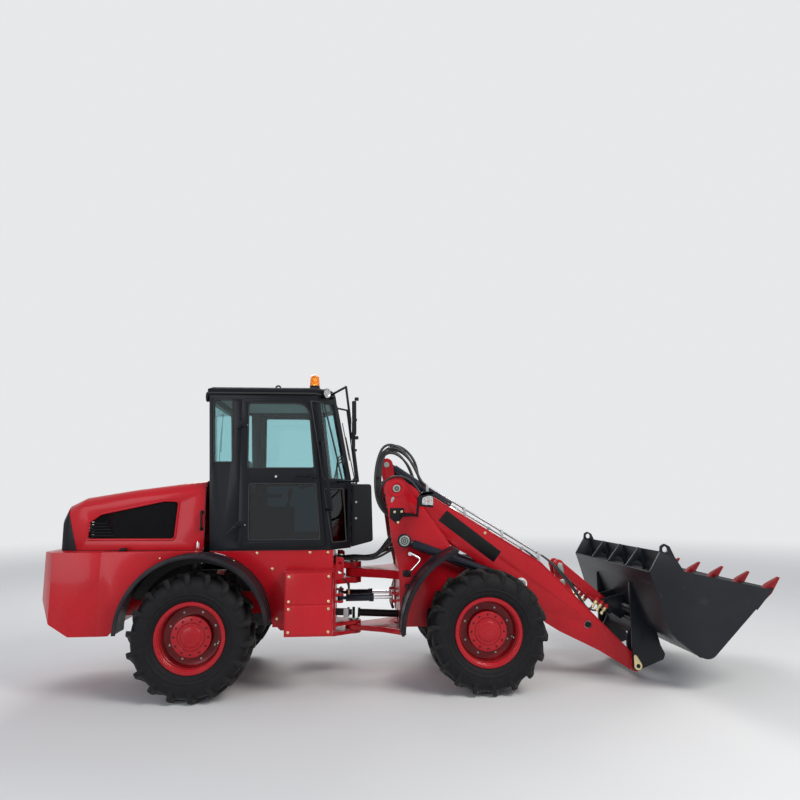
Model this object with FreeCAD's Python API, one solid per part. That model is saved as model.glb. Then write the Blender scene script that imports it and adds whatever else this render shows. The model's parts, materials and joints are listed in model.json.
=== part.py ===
import FreeCAD, Part
import math
import os

os.makedirs("parts", exist_ok=True)

# Compact articulated wheel loader, standing straight with its boom low and its bucket rolled back.
# Millimetres. X points forward, Y to the left and Z up from the floor. While it is modelled,
# X is measured from the middle of the wheelbase. It is moved to the middle of the machine at the end.

Vec = FreeCAD.Vector

# Wheels and axles
wheelbase = 2830
track = 1540
tyre_diameter = 1175
tyre_width = 405
tread_depth = 38
tyre_facets = 30
lug_count = 18
lug_top_width = 38
lug_root_width = 58
rim_radius = 305
rim_flange_radius = 330
rim_width = 340
rim_wall = 14
hub_inset = 134
hub_radius = 135
disc_thickness = 16
disc_bore_radius = 210
axle_radius = 92
spindle_radius = 50

# Play between pieces
pin_play = 0.05
seat_gap = 0.3
side_play = 8

# Boom, tower and linkage points as (x, z) in the rest pose
boom_pin = (557, 1972)
lift_foot = (631, 1434)
lift_head = (1850, 985)
tilt_foot = (470, 2240)
tilt_head = (2431, 934)
rocker_pin = (2591, 541)
rocker_top = (2399, 1124)
hitch_pin = (3080, 132)
hitch_top = (hitch_pin[0] + rocker_top[0] - rocker_pin[0], hitch_pin[1] + rocker_top[1] - rocker_pin[1])

boom_outer = 408
boom_plate = 45
tower_plate = 30
tower_gap = 10
tower_outer = boom_outer + tower_gap + tower_plate
boom_pin_radius = 38
lift_offset = 503
lift_barrel_radius = 46
lift_rod_radius = 28
lift_pin_radius = 42
lift_eye_width = 60
lift_rod_shown = 219
tilt_barrel_radius = 62
tilt_rod_radius = 30
tilt_rod_shown = 1518
tilt_eye_width = 104
ear_gap = 72
ear_plate = 30
rocker_gap = 60
rocker_plate = 30
rocker_sleeve = 125
rocker_shaft_radius = 40
link_plate = 25
hitch_plate = 30
hitch_inner = 440
pin_radius = 30
hitch_tube_radius = 50

# Articulation
pivot_x = 115
pivot_pin_radius = 40
steer_foot = (-30, 200)
steer_head = (545, 180)
steer_z = 820
steer_barrel_radius = 36
steer_rod_radius = 18
steer_rod_shown = 235
steer_pin_radius = 18

# Cab
cab_half_width = 660
cab_wall = 40
cab_bottom = 1359
cab_knee = 2021
cab_top = 2930
cab_front = 78
roof_top = 3015
cab_floor = 25
glass_inset = 14
glass_thickness = 6
door_gap = 5
door_thickness = 30

# Hood and rear body
hood_bottom = 1368
hood_wall = 25
body_top = 1362
body_half_width = 750
arch_x = -1402
arch_z = 640
arch_radius = 712
fender_thickness = 14
fender_outer = 975
ridge_foot = 14
ridge_rise = 7

# Bucket
bucket_width = 2100
bucket_side = 20
bucket_sheet = 16
tooth_count = 5
tooth_margin = 70
ear_hole_radius = 30

rear_x = -2909
front_x = 4365
origin_x = (rear_x + front_x) / 2

axle_z = tyre_diameter / 2
rear_axle_x = -wheelbase / 2
front_axle_x = wheelbase / 2


def box(x_low, x_high, y_low, y_high, z_low, z_high):
    return Part.makeBox(x_high - x_low, y_high - y_low, z_high - z_low, Vec(x_low, y_low, z_low))


def outline(corners, place):
    """Closed wire through (a, b) corners. A corner given as (a, b, radius) is rounded."""
    arrive = []
    leave = []
    middle = []
    count = len(corners)
    for index in range(count):
        here = FreeCAD.Vector(corners[index][0], corners[index][1], 0)
        before = FreeCAD.Vector(corners[index - 1][0], corners[index - 1][1], 0)
        after = FreeCAD.Vector(corners[(index + 1) % count][0], corners[(index + 1) % count][1], 0)
        radius = corners[index][2] if len(corners[index]) > 2 else 0
        back = (before - here).normalize()
        ahead = (after - here).normalize()
        if radius == 0:
            arrive.append(here)
            leave.append(here)
            middle.append(None)
            continue
        half = back.getAngle(ahead) / 2
        reach = radius / math.tan(half)
        centre_way = (back + ahead).normalize()
        centre = here + centre_way * (radius / math.sin(half))
        arrive.append(here + back * reach)
        leave.append(here + ahead * reach)
        middle.append(centre - centre_way * radius)
    edges = []
    for index in range(count):
        start = leave[index - 1]
        end = arrive[index]
        if (end - start).Length > 0.001:
            edges.append(Part.makeLine(place(start.x, start.y), place(end.x, end.y)))
        if middle[index] is not None:
            bend = Part.Arc(place(arrive[index].x, arrive[index].y),
                            place(middle[index].x, middle[index].y),
                            place(leave[index].x, leave[index].y))
            edges.append(bend.toShape())
    return Part.Wire(edges)


def side_plate(corners, y_low, y_high):
    """Plate drawn in side view as (x, z) corners."""
    face = Part.Face(outline(corners, lambda a, b: Vec(a, y_low, b)))
    return face.extrude(Vec(0, y_high - y_low, 0))


def plan_plate(corners, z_low, z_high):
    """Plate drawn from above as (x, y) corners."""
    face = Part.Face(outline(corners, lambda a, b: Vec(a, b, z_low)))
    return face.extrude(Vec(0, 0, z_high - z_low))


def cross_plate(corners, x_low, x_high):
    """Plate drawn from the front as (y, z) corners."""
    face = Part.Face(outline(corners, lambda a, b: Vec(x_low, a, b)))
    return face.extrude(Vec(x_high - x_low, 0, 0))


def rod(start, end, radius):
    way = end - start
    return Part.makeCylinder(radius, way.Length, start, way)


def pin_across(point, y_low, y_high, radius):
    """Cylinder along Y at a side-view point (x, z)."""
    return Part.makeCylinder(radius, y_high - y_low, Vec(point[0], y_low, point[1]), Vec(0, 1, 0))


def pin_upright(x, y, z_low, z_high, radius):
    return Part.makeCylinder(radius, z_high - z_low, Vec(x, y, z_low))


def fuse(shapes):
    whole = shapes[0].multiFuse(shapes[1:])
    return whole.removeSplitter()


def cut(shape, tools):
    for tool in tools:
        shape = shape.cut(tool)
    return shape


def mirrored(shape):
    return shape.mirror(Vec(0, 0, 0), Vec(0, 1, 0))


def pair(shape):
    return [shape, mirrored(shape)]


def save(node, shapes):
    solids = []
    for shape in shapes:
        solids.extend(shape.Solids)
    whole = solids[0] if len(solids) == 1 else Part.makeCompound(solids)
    whole.translate(Vec(-origin_x, 0, 0))
    whole.exportStep("parts/" + node + ".step")


def revolve_about_y(corners, centre, start_angle=0, sweep=360):
    """Ring turned about the Y line through centre from (radius, y) corners."""
    wire = outline(corners, lambda a, b: Vec(a, b, 0))
    ring = Part.Face(wire).revolve(Vec(0, 0, 0), Vec(0, 1, 0), sweep)
    ring.rotate(Vec(0, 0, 0), Vec(0, 1, 0), start_angle)
    ring.translate(centre)
    return ring


def between(a, b, share):
    return (a[0] + (b[0] - a[0]) * share, a[1] + (b[1] - a[1]) * share)


def unit(a, b):
    length = math.hypot(b[0] - a[0], b[1] - a[1])
    return ((b[0] - a[0]) / length, (b[1] - a[1]) / length)


# Wheels

def facet(points):
    return Part.Face(Part.makePolygon(points + points[:1]))


def closed_body(faces):
    body = Part.Solid(Part.Shell(faces))
    return body.reversed() if body.Volume < 0 else body


def tyre_carcass():
    """Carcass in flat facets, so that the whole tyre stays light."""
    half = tyre_width / 2
    tread = tyre_diameter / 2 - tread_depth
    bead = rim_width / 2 - rim_wall - seat_gap
    # one side from the bead to the tread, as (radius, distance from the middle)
    profile = [
        (rim_radius + seat_gap, bead),
        (rim_flange_radius + 4, bead),
        (rim_radius + 135, half),
        (tread - 30, half - 20),
        (tread, half - 62),
    ]
    near = [(radius, -y) for radius, y in profile]
    rings = []
    for radius, y in near + profile[::-1]:
        reach = radius / math.cos(math.pi / tyre_facets)
        turns = [2 * math.pi * step / tyre_facets for step in range(tyre_facets)]
        rings.append([Vec(reach * math.sin(turn), y, reach * math.cos(turn)) for turn in turns])
    faces = []
    for ring, after in zip(rings, rings[1:] + rings[:1]):
        for k in range(tyre_facets):
            faces.append(facet([ring[k - 1], ring[k], after[k], after[k - 1]]))
    return closed_body(faces)


lug_stations = (
    # across the tread, along it, top radius, root radius
    (-14, -64, tyre_diameter / 2, tyre_diameter / 2 - 56),
    (92, 36, tyre_diameter / 2, tyre_diameter / 2 - 56),
    (tyre_width / 2 - 4, 84, tyre_diameter / 2 - 22, tyre_diameter / 2 - 116),
)
lug_lead = (lug_stations[1][1] - lug_top_width / 2) / (tyre_diameter / 2)


def tyre_lug(side, turn):
    """Bar from the middle of the tread, bent back towards the shoulder and wrapped over it."""
    rings = []
    for across, along, top, root in lug_stations:
        ring = []
        for width, radius in ((-lug_root_width, root), (-lug_top_width, top), (lug_top_width, top),
                              (lug_root_width, root)):
            angle = turn - lug_lead + (along + width / 2) / (tyre_diameter / 2)
            ring.append(Vec(radius * math.sin(angle), side * across, radius * math.cos(angle)))
        rings.append(ring)
    faces = [facet(rings[0][:3]), facet(rings[0][2:] + rings[0][:1]), facet(rings[-1][:3]),
             facet(rings[-1][2:] + rings[-1][:1])]
    for ring, after in zip(rings, rings[1:]):
        for k in range(4):
            faces.append(facet([ring[k - 1], ring[k], after[k]]))
            faces.append(facet([ring[k - 1], after[k], after[k - 1]]))
    return closed_body(faces)


def tyre():
    lugs = []
    for index in range(lug_count):
        for side in (-1, 1):
            lugs.append(tyre_lug(side, (index + (0.5 if side > 0 else 0)) * 2 * math.pi / lug_count))
    return tyre_carcass().multiFuse(lugs)


def rim(side):
    """Rim with its disc and planetary hub. side is +1 where the outer face looks to +Y."""
    half = rim_width / 2
    outer = half
    disc = outer - hub_inset
    corners = [
        (rim_radius, -half), (rim_flange_radius, -half), (rim_flange_radius, -half + rim_wall),
        (rim_radius, -half + rim_wall), (rim_radius, half - rim_wall), (rim_flange_radius, half - rim_wall),
        (rim_flange_radius, half), (rim_radius - rim_wall, half), (rim_radius - rim_wall, disc + 20),
        (disc_bore_radius, disc), (hub_radius + 12, disc), (hub_radius, disc + 6, 4),
        (hub_radius - 10, disc + 70, 8), (40, disc + 78), (0.0, disc + 78),
        (0.0, disc - 40), (spindle_radius + pin_play, disc - 40), (spindle_radius + pin_play, disc - 96),
        (165, disc - 96), (165, disc - disc_thickness), (disc_bore_radius, disc - disc_thickness),
        (rim_radius - rim_wall, disc + 20 - disc_thickness), (rim_radius - rim_wall, -half),
    ]
    wheel = revolve_about_y([(a, side * b) + tuple(rest) for a, b, *rest in corners], Vec(0, 0, 0))
    return wheel


def wheels():
    shape = tyre()
    for end, axle_x in (("rear", rear_axle_x), ("front", front_axle_x)):
        for name, side in (("left", 1), ("right", -1)):
            centre = Vec(axle_x, side * track / 2, axle_z)
            rubber = shape.copy() if side > 0 else mirrored(shape)
            rubber.translate(centre)
            save("tyre_" + end + "_" + name, [rubber])
            steel = rim(side)
            steel.translate(centre)
            save("rim_" + end + "_" + name, [steel])


hub_back = track / 2 + rim_width / 2 - hub_inset - 96
axle_nose = 268


def axle(axle_x, nose):
    """Housing with its round bowl, arms and spindles. nose is the way the drive flange looks."""
    bowl = Part.makeSphere(185, Vec(axle_x, 0, axle_z))
    bowl = bowl.common(box(axle_x - 150, axle_x + 150, -190, 190, axle_z - 190, axle_z + 190))
    neck = rod(Vec(axle_x, 0, axle_z), Vec(axle_x + nose * 250, 0, axle_z), 78)
    flange = rod(Vec(axle_x + nose * 250, 0, axle_z), Vec(axle_x + nose * axle_nose, 0, axle_z), 60)
    pieces = [bowl, neck, flange]
    for side in (-1, 1):
        arm_end = Vec(axle_x, side * (hub_back - 30), axle_z)
        arm = Part.makeCone(115, axle_radius, hub_back - 30 - 120, Vec(axle_x, side * 120, axle_z), Vec(0, side, 0))
        collar = rod(arm_end, Vec(axle_x, side * (hub_back - 1), axle_z), 150)
        spindle = rod(Vec(axle_x, side * (hub_back - 20), axle_z), Vec(axle_x, side * (hub_back + 50), axle_z),
                      spindle_radius)
        pieces += [arm, collar, spindle]
    return pieces


# Rear half

rail_outer = 330
rail_plate = 25
frame_front = -75
frame_rear = -2330
toolbox_arms = (-470, -230)
toolbox_arm = (60, 700, 760)
rail_top = 920
rail_bottom = 700
frame_bottom = 523
post_top = 1140
shaft_z = 668
ear_levels = ((1120, 1180), (960, 1020), (525, 560), (430, 465))
tongue_levels = ((1026, 1114), (470, 520))
bulkhead_half = 460
bulkhead_plate = 35
side_box_inner = 656
side_box_outer = 880
cover_rise = 8


def rear_frame():
    rail = side_plate([(frame_rear, rail_bottom), (-820, rail_bottom), (-640, frame_bottom),
                       (frame_front - bulkhead_plate, frame_bottom), (frame_front - bulkhead_plate, post_top),
                       (-420, post_top), (-640, rail_top), (frame_rear, rail_top)],
                      rail_outer - rail_plate, rail_outer)
    bulkhead = cross_plate([(-bulkhead_half, frame_bottom, 40), (bulkhead_half, frame_bottom, 40),
                            (bulkhead_half, 1189), (-bulkhead_half, 1189)],
                           frame_front - bulkhead_plate, frame_front)
    bulkhead = bulkhead.cut(rod(Vec(-200, 0, shaft_z), Vec(0, 0, shaft_z), 110))
    pieces = pair(rail) + [bulkhead]
    for z_low, z_high in ear_levels:
        ear = plan_plate([(frame_front - 20, -210), (frame_front - 20, 210), (0, 150), (pivot_x, 80), (pivot_x, -80),
                          (0, -150)], z_low, z_high)
        ear = ear.fuse(pin_upright(pivot_x, 0, z_low, z_high, 80))
        pieces.append(ear.cut(pin_upright(pivot_x, 0, z_low - 1, z_high + 1, pivot_pin_radius + pin_play)))
    pieces.append(box(frame_front - bulkhead_plate, frame_front, -210, 210, ear_levels[-1][0], frame_bottom))
    for x in (-2320, -720):
        web = box(x, x + 20, -rail_outer + rail_plate, rail_outer - rail_plate, rail_bottom, rail_top - 60)
        pieces.append(web.cut(rod(Vec(x - 1, 0, shaft_z), Vec(x + 21, 0, shaft_z), 75)))
    for side in (-1, 1):
        y_low, y_high = sorted((side * (rail_outer - 2), side * (side_box_inner - seat_gap)))
        for x in toolbox_arms:
            pieces.append(box(x, x + toolbox_arm[0], y_low, y_high, *toolbox_arm[1:]))
        y_low, y_high = sorted((side * (rail_outer - rail_plate), side * (rail_outer + 60)))
        for x in (-1290, -220):
            pieces.append(box(x, x + 70, y_low, y_high, rail_top - 20, post_top))
        y_low, y_high = sorted((side * (bulkhead_half - 20), side * bulkhead_half))
        bracket = side_plate([(-76, 1037), (8, 1060, 15), (8, 1250, 15), (-20, 1269), (-76, 1269)], y_low, y_high)
        for z in (1100, 1190):
            bracket = bracket.cut(side_plate([(-50, z, 12), (-14, z, 12), (-14, z + 30, 12), (-50, z + 30, 12)],
                                             y_low - 1, y_high + 1))
        pieces.append(bracket)
    for x in (-1415 - 230, -1415 + 190):
        hanger = cross_plate([(-rail_outer + rail_plate, 760), (rail_outer - rail_plate, 760),
                              (rail_outer - rail_plate, 880), (-rail_outer + rail_plate, 880)], x, x + 40)
        collar = rod(Vec(x, 0, axle_z), Vec(x + 40, 0, axle_z), 120)
        strap = box(x, x + 40, -120, 120, axle_z, 780)
        pieces.append(cut(fuse([hanger, collar, strap]),
                          [rod(Vec(x - 1, 0, axle_z), Vec(x + 41, 0, axle_z), 78 + seat_gap)]))
    for x, y, z in ((steer_foot[0], steer_foot[1], steer_z), (steer_foot[0], -steer_foot[1], steer_z)):
        for z_low, z_high in ((z + 26, z + 46), (z - 46, z - 26)):
            lug = plan_plate([(frame_front - 5, y - 34), (frame_front - 5, y + 34), (x, y + 34), (x, y - 34)],
                             z_low, z_high)
            pieces.append(lug.fuse(pin_upright(x, y, z_low, z_high, 34)))
    whole = fuse(pieces)
    for y in (steer_foot[1], -steer_foot[1]):
        whole = whole.cut(pin_upright(steer_foot[0], y, steer_z - 60, steer_z + 60, steer_pin_radius + pin_play))
    save("rear_frame", [whole])


def pivot_pins():
    pins = []
    for z_low, z_high in ((950, 1190), (420, 570)):
        head = pin_upright(pivot_x, 0, z_high, z_high + 12, 58)
        pins.append(pin_upright(pivot_x, 0, z_low, z_high, pivot_pin_radius).fuse(head))
    for side in (-1, 1):
        pins.append(pin_upright(steer_foot[0], side * steer_foot[1], steer_z - 52, steer_z + 52, steer_pin_radius))
    save("pivot_pins", pins)


def rear_axle():
    pieces = axle(rear_axle_x, 1)
    pieces.append(rod(Vec(rear_axle_x - 250, 0, axle_z), Vec(rear_axle_x, 0, axle_z), 78))
    save("rear_axle", [fuse(pieces)])


def counterweight():
    side_view = [(rear_x, body_top), (rear_x, 904), (-2773, 697), (-2591, 580), (frame_rear, 580),
                 (frame_rear, body_top)]
    block = side_plate(side_view, -body_half_width, body_half_width)
    plan = [(rear_x, -600), (-2780, -body_half_width), (frame_rear, -body_half_width),
            (frame_rear, body_half_width), (-2780, body_half_width), (rear_x, 600)]
    block = block.common(plan_plate(plan, 500, 1400))
    pocket = box(rear_x - 1, rear_x + 150, -110, 110, 730, 900)
    tools = [pocket]
    for side in (-1, 1):
        y_low, y_high = sorted((side * 470, side * 585))
        for z_low, z_high in ((1075, 1165), (930, 1010)):
            tools.append(box(rear_x - 1, rear_x + 30, y_low, y_high, z_low, z_high))
    block = cut(block, tools)
    x, z = hood_hinge
    lugs = []
    for side in (-1, 1):
        y_low, y_high = sorted((side * (hood_hinge_y - 25), side * (hood_hinge_y + 25)))
        lug = box(x - 16, x + 16, y_low, y_high, body_top - 10, z).fuse(pin_across(hood_hinge, y_low, y_high, 16))
        lugs.append(lug)
    block = fuse([block] + lugs)
    bore = pin_across(hood_hinge, -body_half_width, body_half_width, hood_pin_radius + pin_play)
    save("counterweight", [block.cut(bore)])


def tow_hitch():
    back = rear_x + 149.7
    jaw = box(rear_x + 4, back, -109.7, 109.7, 730.3, 899.7)
    jaw = jaw.cut(box(rear_x, rear_x + 110, -120, 120, 775, 855))
    jaw = jaw.cut(pin_upright(rear_x + 55, 0, 700, 950, 17.5))
    save("tow_hitch", [jaw])


def lamps():
    """Tail lamps in the counterweight's pockets, and work lamps at the roof's ends."""
    pieces = []
    for side in (-1, 1):
        y_low, y_high = sorted((side * 475, side * 580))
        for z_low, z_high in ((1080, 1160), (935, 1005)):
            pieces.append(box(rear_x + 8, rear_x + 29.7, y_low, y_high, z_low, z_high))
        x, y = between(roof_corner(12)[0], roof_corner(12)[1], 0.44)
        foot = Vec(x, side * y, 2962)
        way = Vec(roof_corner_way[0], side * roof_corner_way[1], 0)
        pieces.append(rod(foot + way * seat_gap, foot + way * 60, 52))
        y = side * 430
        pieces.append(box(-1462, -1400.3, y - 60, y + 60, 2890, 2990))
    save("lamps", pieces)


def side_panels():
    side_view = [(frame_rear, 580), (-2224, 582), (-2150, 660), (-2150, 700), (-1200, 700), (-1200, body_top),
                 (frame_rear, body_top)]
    panels = []
    for side in (-1, 1):
        y_low, y_high = sorted((side * (body_half_width - 30), side * body_half_width))
        wall = side_plate(side_view, y_low, y_high)
        y_low, y_high = sorted((side * 560, side * body_half_width))
        deck = box(frame_rear, -1400, y_low, y_high, body_top - 8, body_top)
        arch = pin_across((arch_x, arch_z), -1000, 1000, arch_radius + 1)
        panel = fuse([wall.cut(box(-1400, -1100, -1000, 1000, 500, 1500)), deck]).cut(arch)
        panels.append(max(panel.Solids, key=lambda solid: solid.Volume))
    save("side_panels", panels)


def arch_band(centre_x, centre_z, radius, y_inner, y_outer, start, sweep, ridges):
    """Fender band about a wheel, with pressed ridges and a lip at its outer edge. Angles turn from +X up over it."""
    inner = radius - fender_thickness
    corners = [(inner, y_inner), (radius, y_inner)]
    for y in ridges:
        corners += [(radius, y - ridge_foot), (radius + ridge_rise, y - ridge_foot / 2),
                    (radius + ridge_rise, y + ridge_foot / 2), (radius, y + ridge_foot)]
    corners += [(radius, y_outer), (radius - 38, y_outer), (radius - 38, y_outer - 14), (inner, y_outer - 14)]
    wire = outline(corners, lambda a, b: Vec(a, b, 0))
    band = Part.Face(wire).revolve(Vec(0, 0, 0), Vec(0, -1, 0), sweep)
    band.rotate(Vec(0, 0, 0), Vec(0, -1, 0), start)
    band.translate(Vec(centre_x, 0, centre_z))
    return band


def rear_fenders():
    band = arch_band(arch_x, arch_z, arch_radius, 665, fender_outer, 5, 176, (790, 940))
    save("rear_fenders", pair(band))


def toolbox():
    """Case with two raised covers and the lip of its lid."""
    low, high, split = 570, 1172, 861
    case = box(-552, -92, -side_box_outer, -side_box_inner, low, high)
    lip = box(-558, -86, -side_box_outer - cover_rise, -side_box_inner, high, high + 8)
    pieces = [case, lip]
    for z_low, z_high in ((low + 14, split - 3), (split + 3, high - 14)):
        cover = cross_plate([(-side_box_outer - cover_rise, z_low + cover_rise), (-side_box_outer, z_low),
                             (-side_box_outer, z_high), (-side_box_outer - cover_rise, z_high - cover_rise)],
                            -540, -104)
        pieces.append(cover)
    save("toolbox", [fuse(pieces)])


def steps():
    """Access ladder on the left, its treads between two side plates."""
    pieces = []
    for x in (-540, -104):
        pieces.append(side_plate([(x, 430), (x + 12, 430), (x + 12, 1172), (x, 1172)], side_box_inner, 870))
    for z in (440, 680, 920, 1160):
        pieces.append(box(-540, -92, side_box_inner, 870, z, z + 12))
    pieces.append(box(-540, -92, side_box_inner, side_box_inner + 12, 640, 1172))
    save("steps", [fuse(pieces)])


def engine():
    block = box(-2260, -1600, -270, 270, 960, 1520)
    sump = box(-2150, -1720, -180, 180, 820, 960)
    feet = []
    for x in (-2200, -1700):
        feet.append(box(x, x + 70, -rail_outer, rail_outer, rail_top, 980))
    gearbox = box(-1130, -740, -210, 210, 560, 1120)
    gear_feet = box(-960, -900, -rail_outer, rail_outer, rail_top, 980)
    bell = rod(Vec(-1620, 0, 1050), Vec(-1120, 0, 1050), 60)
    block = fuse([block, sump, gearbox, gear_feet, bell] + feet)
    save("engine", [block, drive_shaft(Vec(-740 + seat_gap, 0, 668), Vec(pivot_x - 45, 0, 640))])


def drive_shaft(start, end):
    """Tube with a bolting flange at its start and a joint yoke at its end."""
    way = (end - start).normalize()
    flange = rod(start, start + Vec(math.copysign(22, way.x), 0, 0), 60)
    tube = rod(start + way * 12, end, 38)
    yoke = rod(end - way * 25, end, 50)
    return fuse([tube, flange, yoke])


# Cab

def cab_section(level, inset):
    """Corners of the cab seen from above at a level, moved in from the outer skin."""
    rise = (level - cab_bottom) / (cab_top - cab_bottom)
    rear = -1320 - 64 * rise + inset
    pillar = -121 - 169 * rise - 0.4 * inset
    lean = max(0, (level - cab_knee) / (cab_top - cab_knee))
    front = cab_front - 178 * lean - inset
    half = cab_half_width - inset
    nose = 400 - 0.4 * inset
    corners = [(rear, -half), (pillar, -half), (front, -nose), (front, nose), (pillar, half), (rear, half)]
    points = [Vec(x, y, level) for x, y in corners]
    return Part.makePolygon(points + points[:1])


def cab_body(inset, low, high):
    lower = Part.makeLoft([cab_section(low, inset), cab_section(cab_knee, inset)], True, True)
    upper = Part.makeLoft([cab_section(cab_knee, inset), cab_section(high, inset)], True, True)
    return lower.fuse(upper)


door_corners = [(-1040, 1395, 30), (-178, 1395, 30), (-330, 2895, 200), (-1046, 2895, 40)]
doorway_corners = [(-1015, 1420, 30), (-206, 1420, 30), (-352, 2870, 175), (-1021, 2870, 30)]
upper_pane = [(-968, 2178, 25), (-300, 2178, 25), (-366, 2840, 150), (-975, 2840, 25)]
lower_pane = [(-940, 1465, 25), (-231, 1465, 25), (-284, 2020, 25), (-950, 2020, 25)]
quarter_pane = [(-1311, 2240, 25), (-1122, 2240, 25), (-1147, 2880, 25), (-1339, 2880, 25)]
hinge_x = -1052
hinge_y = cab_half_width + door_gap + door_thickness + 10
hinge_levels = (1620, 2620)

corner_origin = (-192, 660)
corner_way = (0.72, -0.693)


def corner_cutter(corners, side):
    """Prism square to the cab's corner panel, drawn as (along the panel, z)."""
    normal = Vec(0.693, 0.72 * side, 0)

    def place(a, b):
        return Vec(corner_origin[0] + corner_way[0] * a, side * (corner_origin[1] + corner_way[1] * a), b)

    face = Part.Face(outline(corners, place))
    face.translate(normal * -150)
    return face.extrude(normal * 260)


def cab_cutters():
    """Prisms of the cab's window openings. The doorways come apart from these."""
    screens = []
    for side in (-1, 1):
        y_low, y_high = sorted((side * 560, side * 720))
        screens.append(side_plate(quarter_pane, y_low, y_high))
        screens.append(corner_cutter([(58, 2068, 20), (318, 2068, 20), (200, 2862, 20), (-12, 2862, 20)], side))
        screens.append(corner_cutter([(98, 1430, 20), (326, 1430, 20), (326, 1970, 20), (52, 1970, 20)], side))
    screens.append(cross_plate([(-370, 2070, 30), (370, 2070, 30), (370, 2862, 30), (-370, 2862, 30)], -190, 200))
    screens.append(cross_plate([(-560, 2160, 40), (560, 2160, 40), (560, 2850, 40), (-560, 2850, 40)],
                               -1500, -1250))
    return screens


def cab_frame():
    shell = cab_body(0, cab_bottom, cab_top).cut(cab_body(cab_wall, cab_bottom + cab_floor, cab_top + 1))
    tools = cab_cutters()
    for side in (-1, 1):
        y_low, y_high = sorted((side * 560, side * 720))
        tools.append(side_plate(doorway_corners, y_low, y_high))
    shell = cut(shell, tools)
    pieces = [shell]
    for side in (-1, 1):
        for level in hinge_levels:
            reach = hinge_y + 8
            y_low, y_high = sorted((side * (cab_half_width - 10), side * reach))
            pieces.append(box(hinge_x - 40, hinge_x - 10, y_low, y_high, level - 40, level - 22))
            y_low, y_high = sorted((side * (hinge_y - 7), side * reach))
            pieces.append(box(hinge_x - 11, hinge_x + 8, y_low, y_high, level - 40, level - 22))
            pieces.append(pin_upright(hinge_x, side * hinge_y, level - 30, level + 30, 7))
    save("cab_frame", [fuse(pieces)])


def cab_glass():
    skin = cab_body(glass_inset, cab_bottom + 30, cab_top - 20)
    skin = skin.cut(cab_body(glass_inset + glass_thickness, cab_bottom + 29, cab_top - 19))
    panes = []
    for tool in cab_cutters():
        panes.append(skin.common(tool))
    save("cab_glass", panes)


def roof_corner(out):
    """Ends of the roof's slanted front corner on the left, as (x, y)."""
    return (-300, cab_half_width + out), (-120 + out, 470)


corner_run = unit(*roof_corner(12))
roof_corner_way = (-corner_run[1], corner_run[0])


def roof_cap():
    def ring(level, out):
        (side_x, side_y), (nose_x, nose_y) = roof_corner(out)
        points = [Vec(x, y, level) for x, y in
                  ((-1388 - out, -side_y), (side_x, -side_y), (nose_x, -nose_y),
                   (nose_x, nose_y), (side_x, side_y), (-1388 - out, side_y))]
        return Part.makePolygon(points + points[:1])

    return Part.makeLoft([ring(cab_top, 0), ring(cab_top + 20, 12), ring(roof_top - 25, 12),
                          ring(roof_top, -35)], True, True)


def cab_roof():
    """Roof cap with its raised middle and two lifting eyes."""
    panel = plan_plate([(-1310, -540, 60), (-520, -540, 60), (-420, -440, 60), (-420, 440, 60), (-520, 540, 60),
                        (-1310, 540, 60)], roof_top - 1, roof_top + 8)
    pieces = [roof_cap(), panel]
    for y in (-300, 300):
        eye = pin_across((-727, 3062), y - 8, y + 8, 34).fuse(box(-761, -693, y - 8, y + 8, roof_top, 3062))
        pieces.append(eye.cut(pin_across((-727, 3062), y - 9, y + 9, 18)))
    save("cab_roof", [fuse(pieces)])


def door(name, side):
    inner = cab_half_width + door_gap
    y_low, y_high = sorted((side * inner, side * (inner + door_thickness)))
    leaf = side_plate(door_corners, y_low, y_high)
    for pane in (upper_pane, lower_pane):
        leaf = leaf.cut(side_plate(pane, y_low - 1, y_high + 1))
    pieces = [leaf]
    for level in hinge_levels:
        knuckle = pin_upright(hinge_x, side * hinge_y, level - 21.5, level + 28, 14)
        y_a, y_b = sorted((side * (inner + 8), side * (hinge_y + 4)))
        strap = box(hinge_x, hinge_x + 70, y_a, y_b, level - 21.5, level + 28)
        pieces.append(fuse([knuckle, strap]))
    leaf = fuse(pieces)
    for level in hinge_levels:
        leaf = leaf.cut(pin_upright(hinge_x, side * hinge_y, level - 60, level + 60, 7 + pin_play))
    save("door_" + name, [leaf])
    panes = []
    middle = side * (inner + door_thickness / 2)
    for pane in (upper_pane, lower_pane):
        panes.append(side_plate(pane, middle - glass_thickness / 2, middle + glass_thickness / 2))
    save("door_glass_" + name, panes)


skirt_bottom = 620


def cab_base():
    """Red under-cab body: a deck with long skirts behind the toolbox, arched over the rear wheels."""
    deck = box(-1318, -100, -640, 640, cab_bottom - 24, cab_bottom)
    skirts = []
    for side in (-1, 1):
        y_low, y_high = sorted((side * 640, side * 655))
        skirt = side_plate([(-1318, cab_bottom), (-1318, 1300), (-1200, 1300), (-700, skirt_bottom),
                            (-100, skirt_bottom), (-100, cab_bottom)], y_low, y_high)
        for x in toolbox_arms:
            width, low, high = toolbox_arm
            skirt = skirt.cut(box(x - seat_gap, x + width + seat_gap, y_low - 1, y_high + 1, low - seat_gap,
                                  high + seat_gap))
        skirts.append(skirt)
    front = box(-115, -100, -640, 640, 1190, cab_bottom)
    posts = []
    for side in (-1, 1):
        y_low, y_high = sorted((side * (rail_outer - rail_plate), side * (rail_outer + 60)))
        for x in (-1290, -220):
            posts.append(box(x, x + 70, y_low, y_high, 1140, cab_bottom - 20))
    body = fuse([deck, front] + skirts + posts)
    save("cab_base", [body.cut(pin_across((arch_x, arch_z), -1000, 1000, arch_radius + 3))])


def front_box():
    """Black cover box ahead of the windscreen."""
    back = cab_front + seat_gap
    block = side_plate([(back, cab_bottom + 3), (312, 1422, 30), (292, cab_knee, 30), (back, cab_knee)], -350, 350)
    save("front_box", [block])


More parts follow.
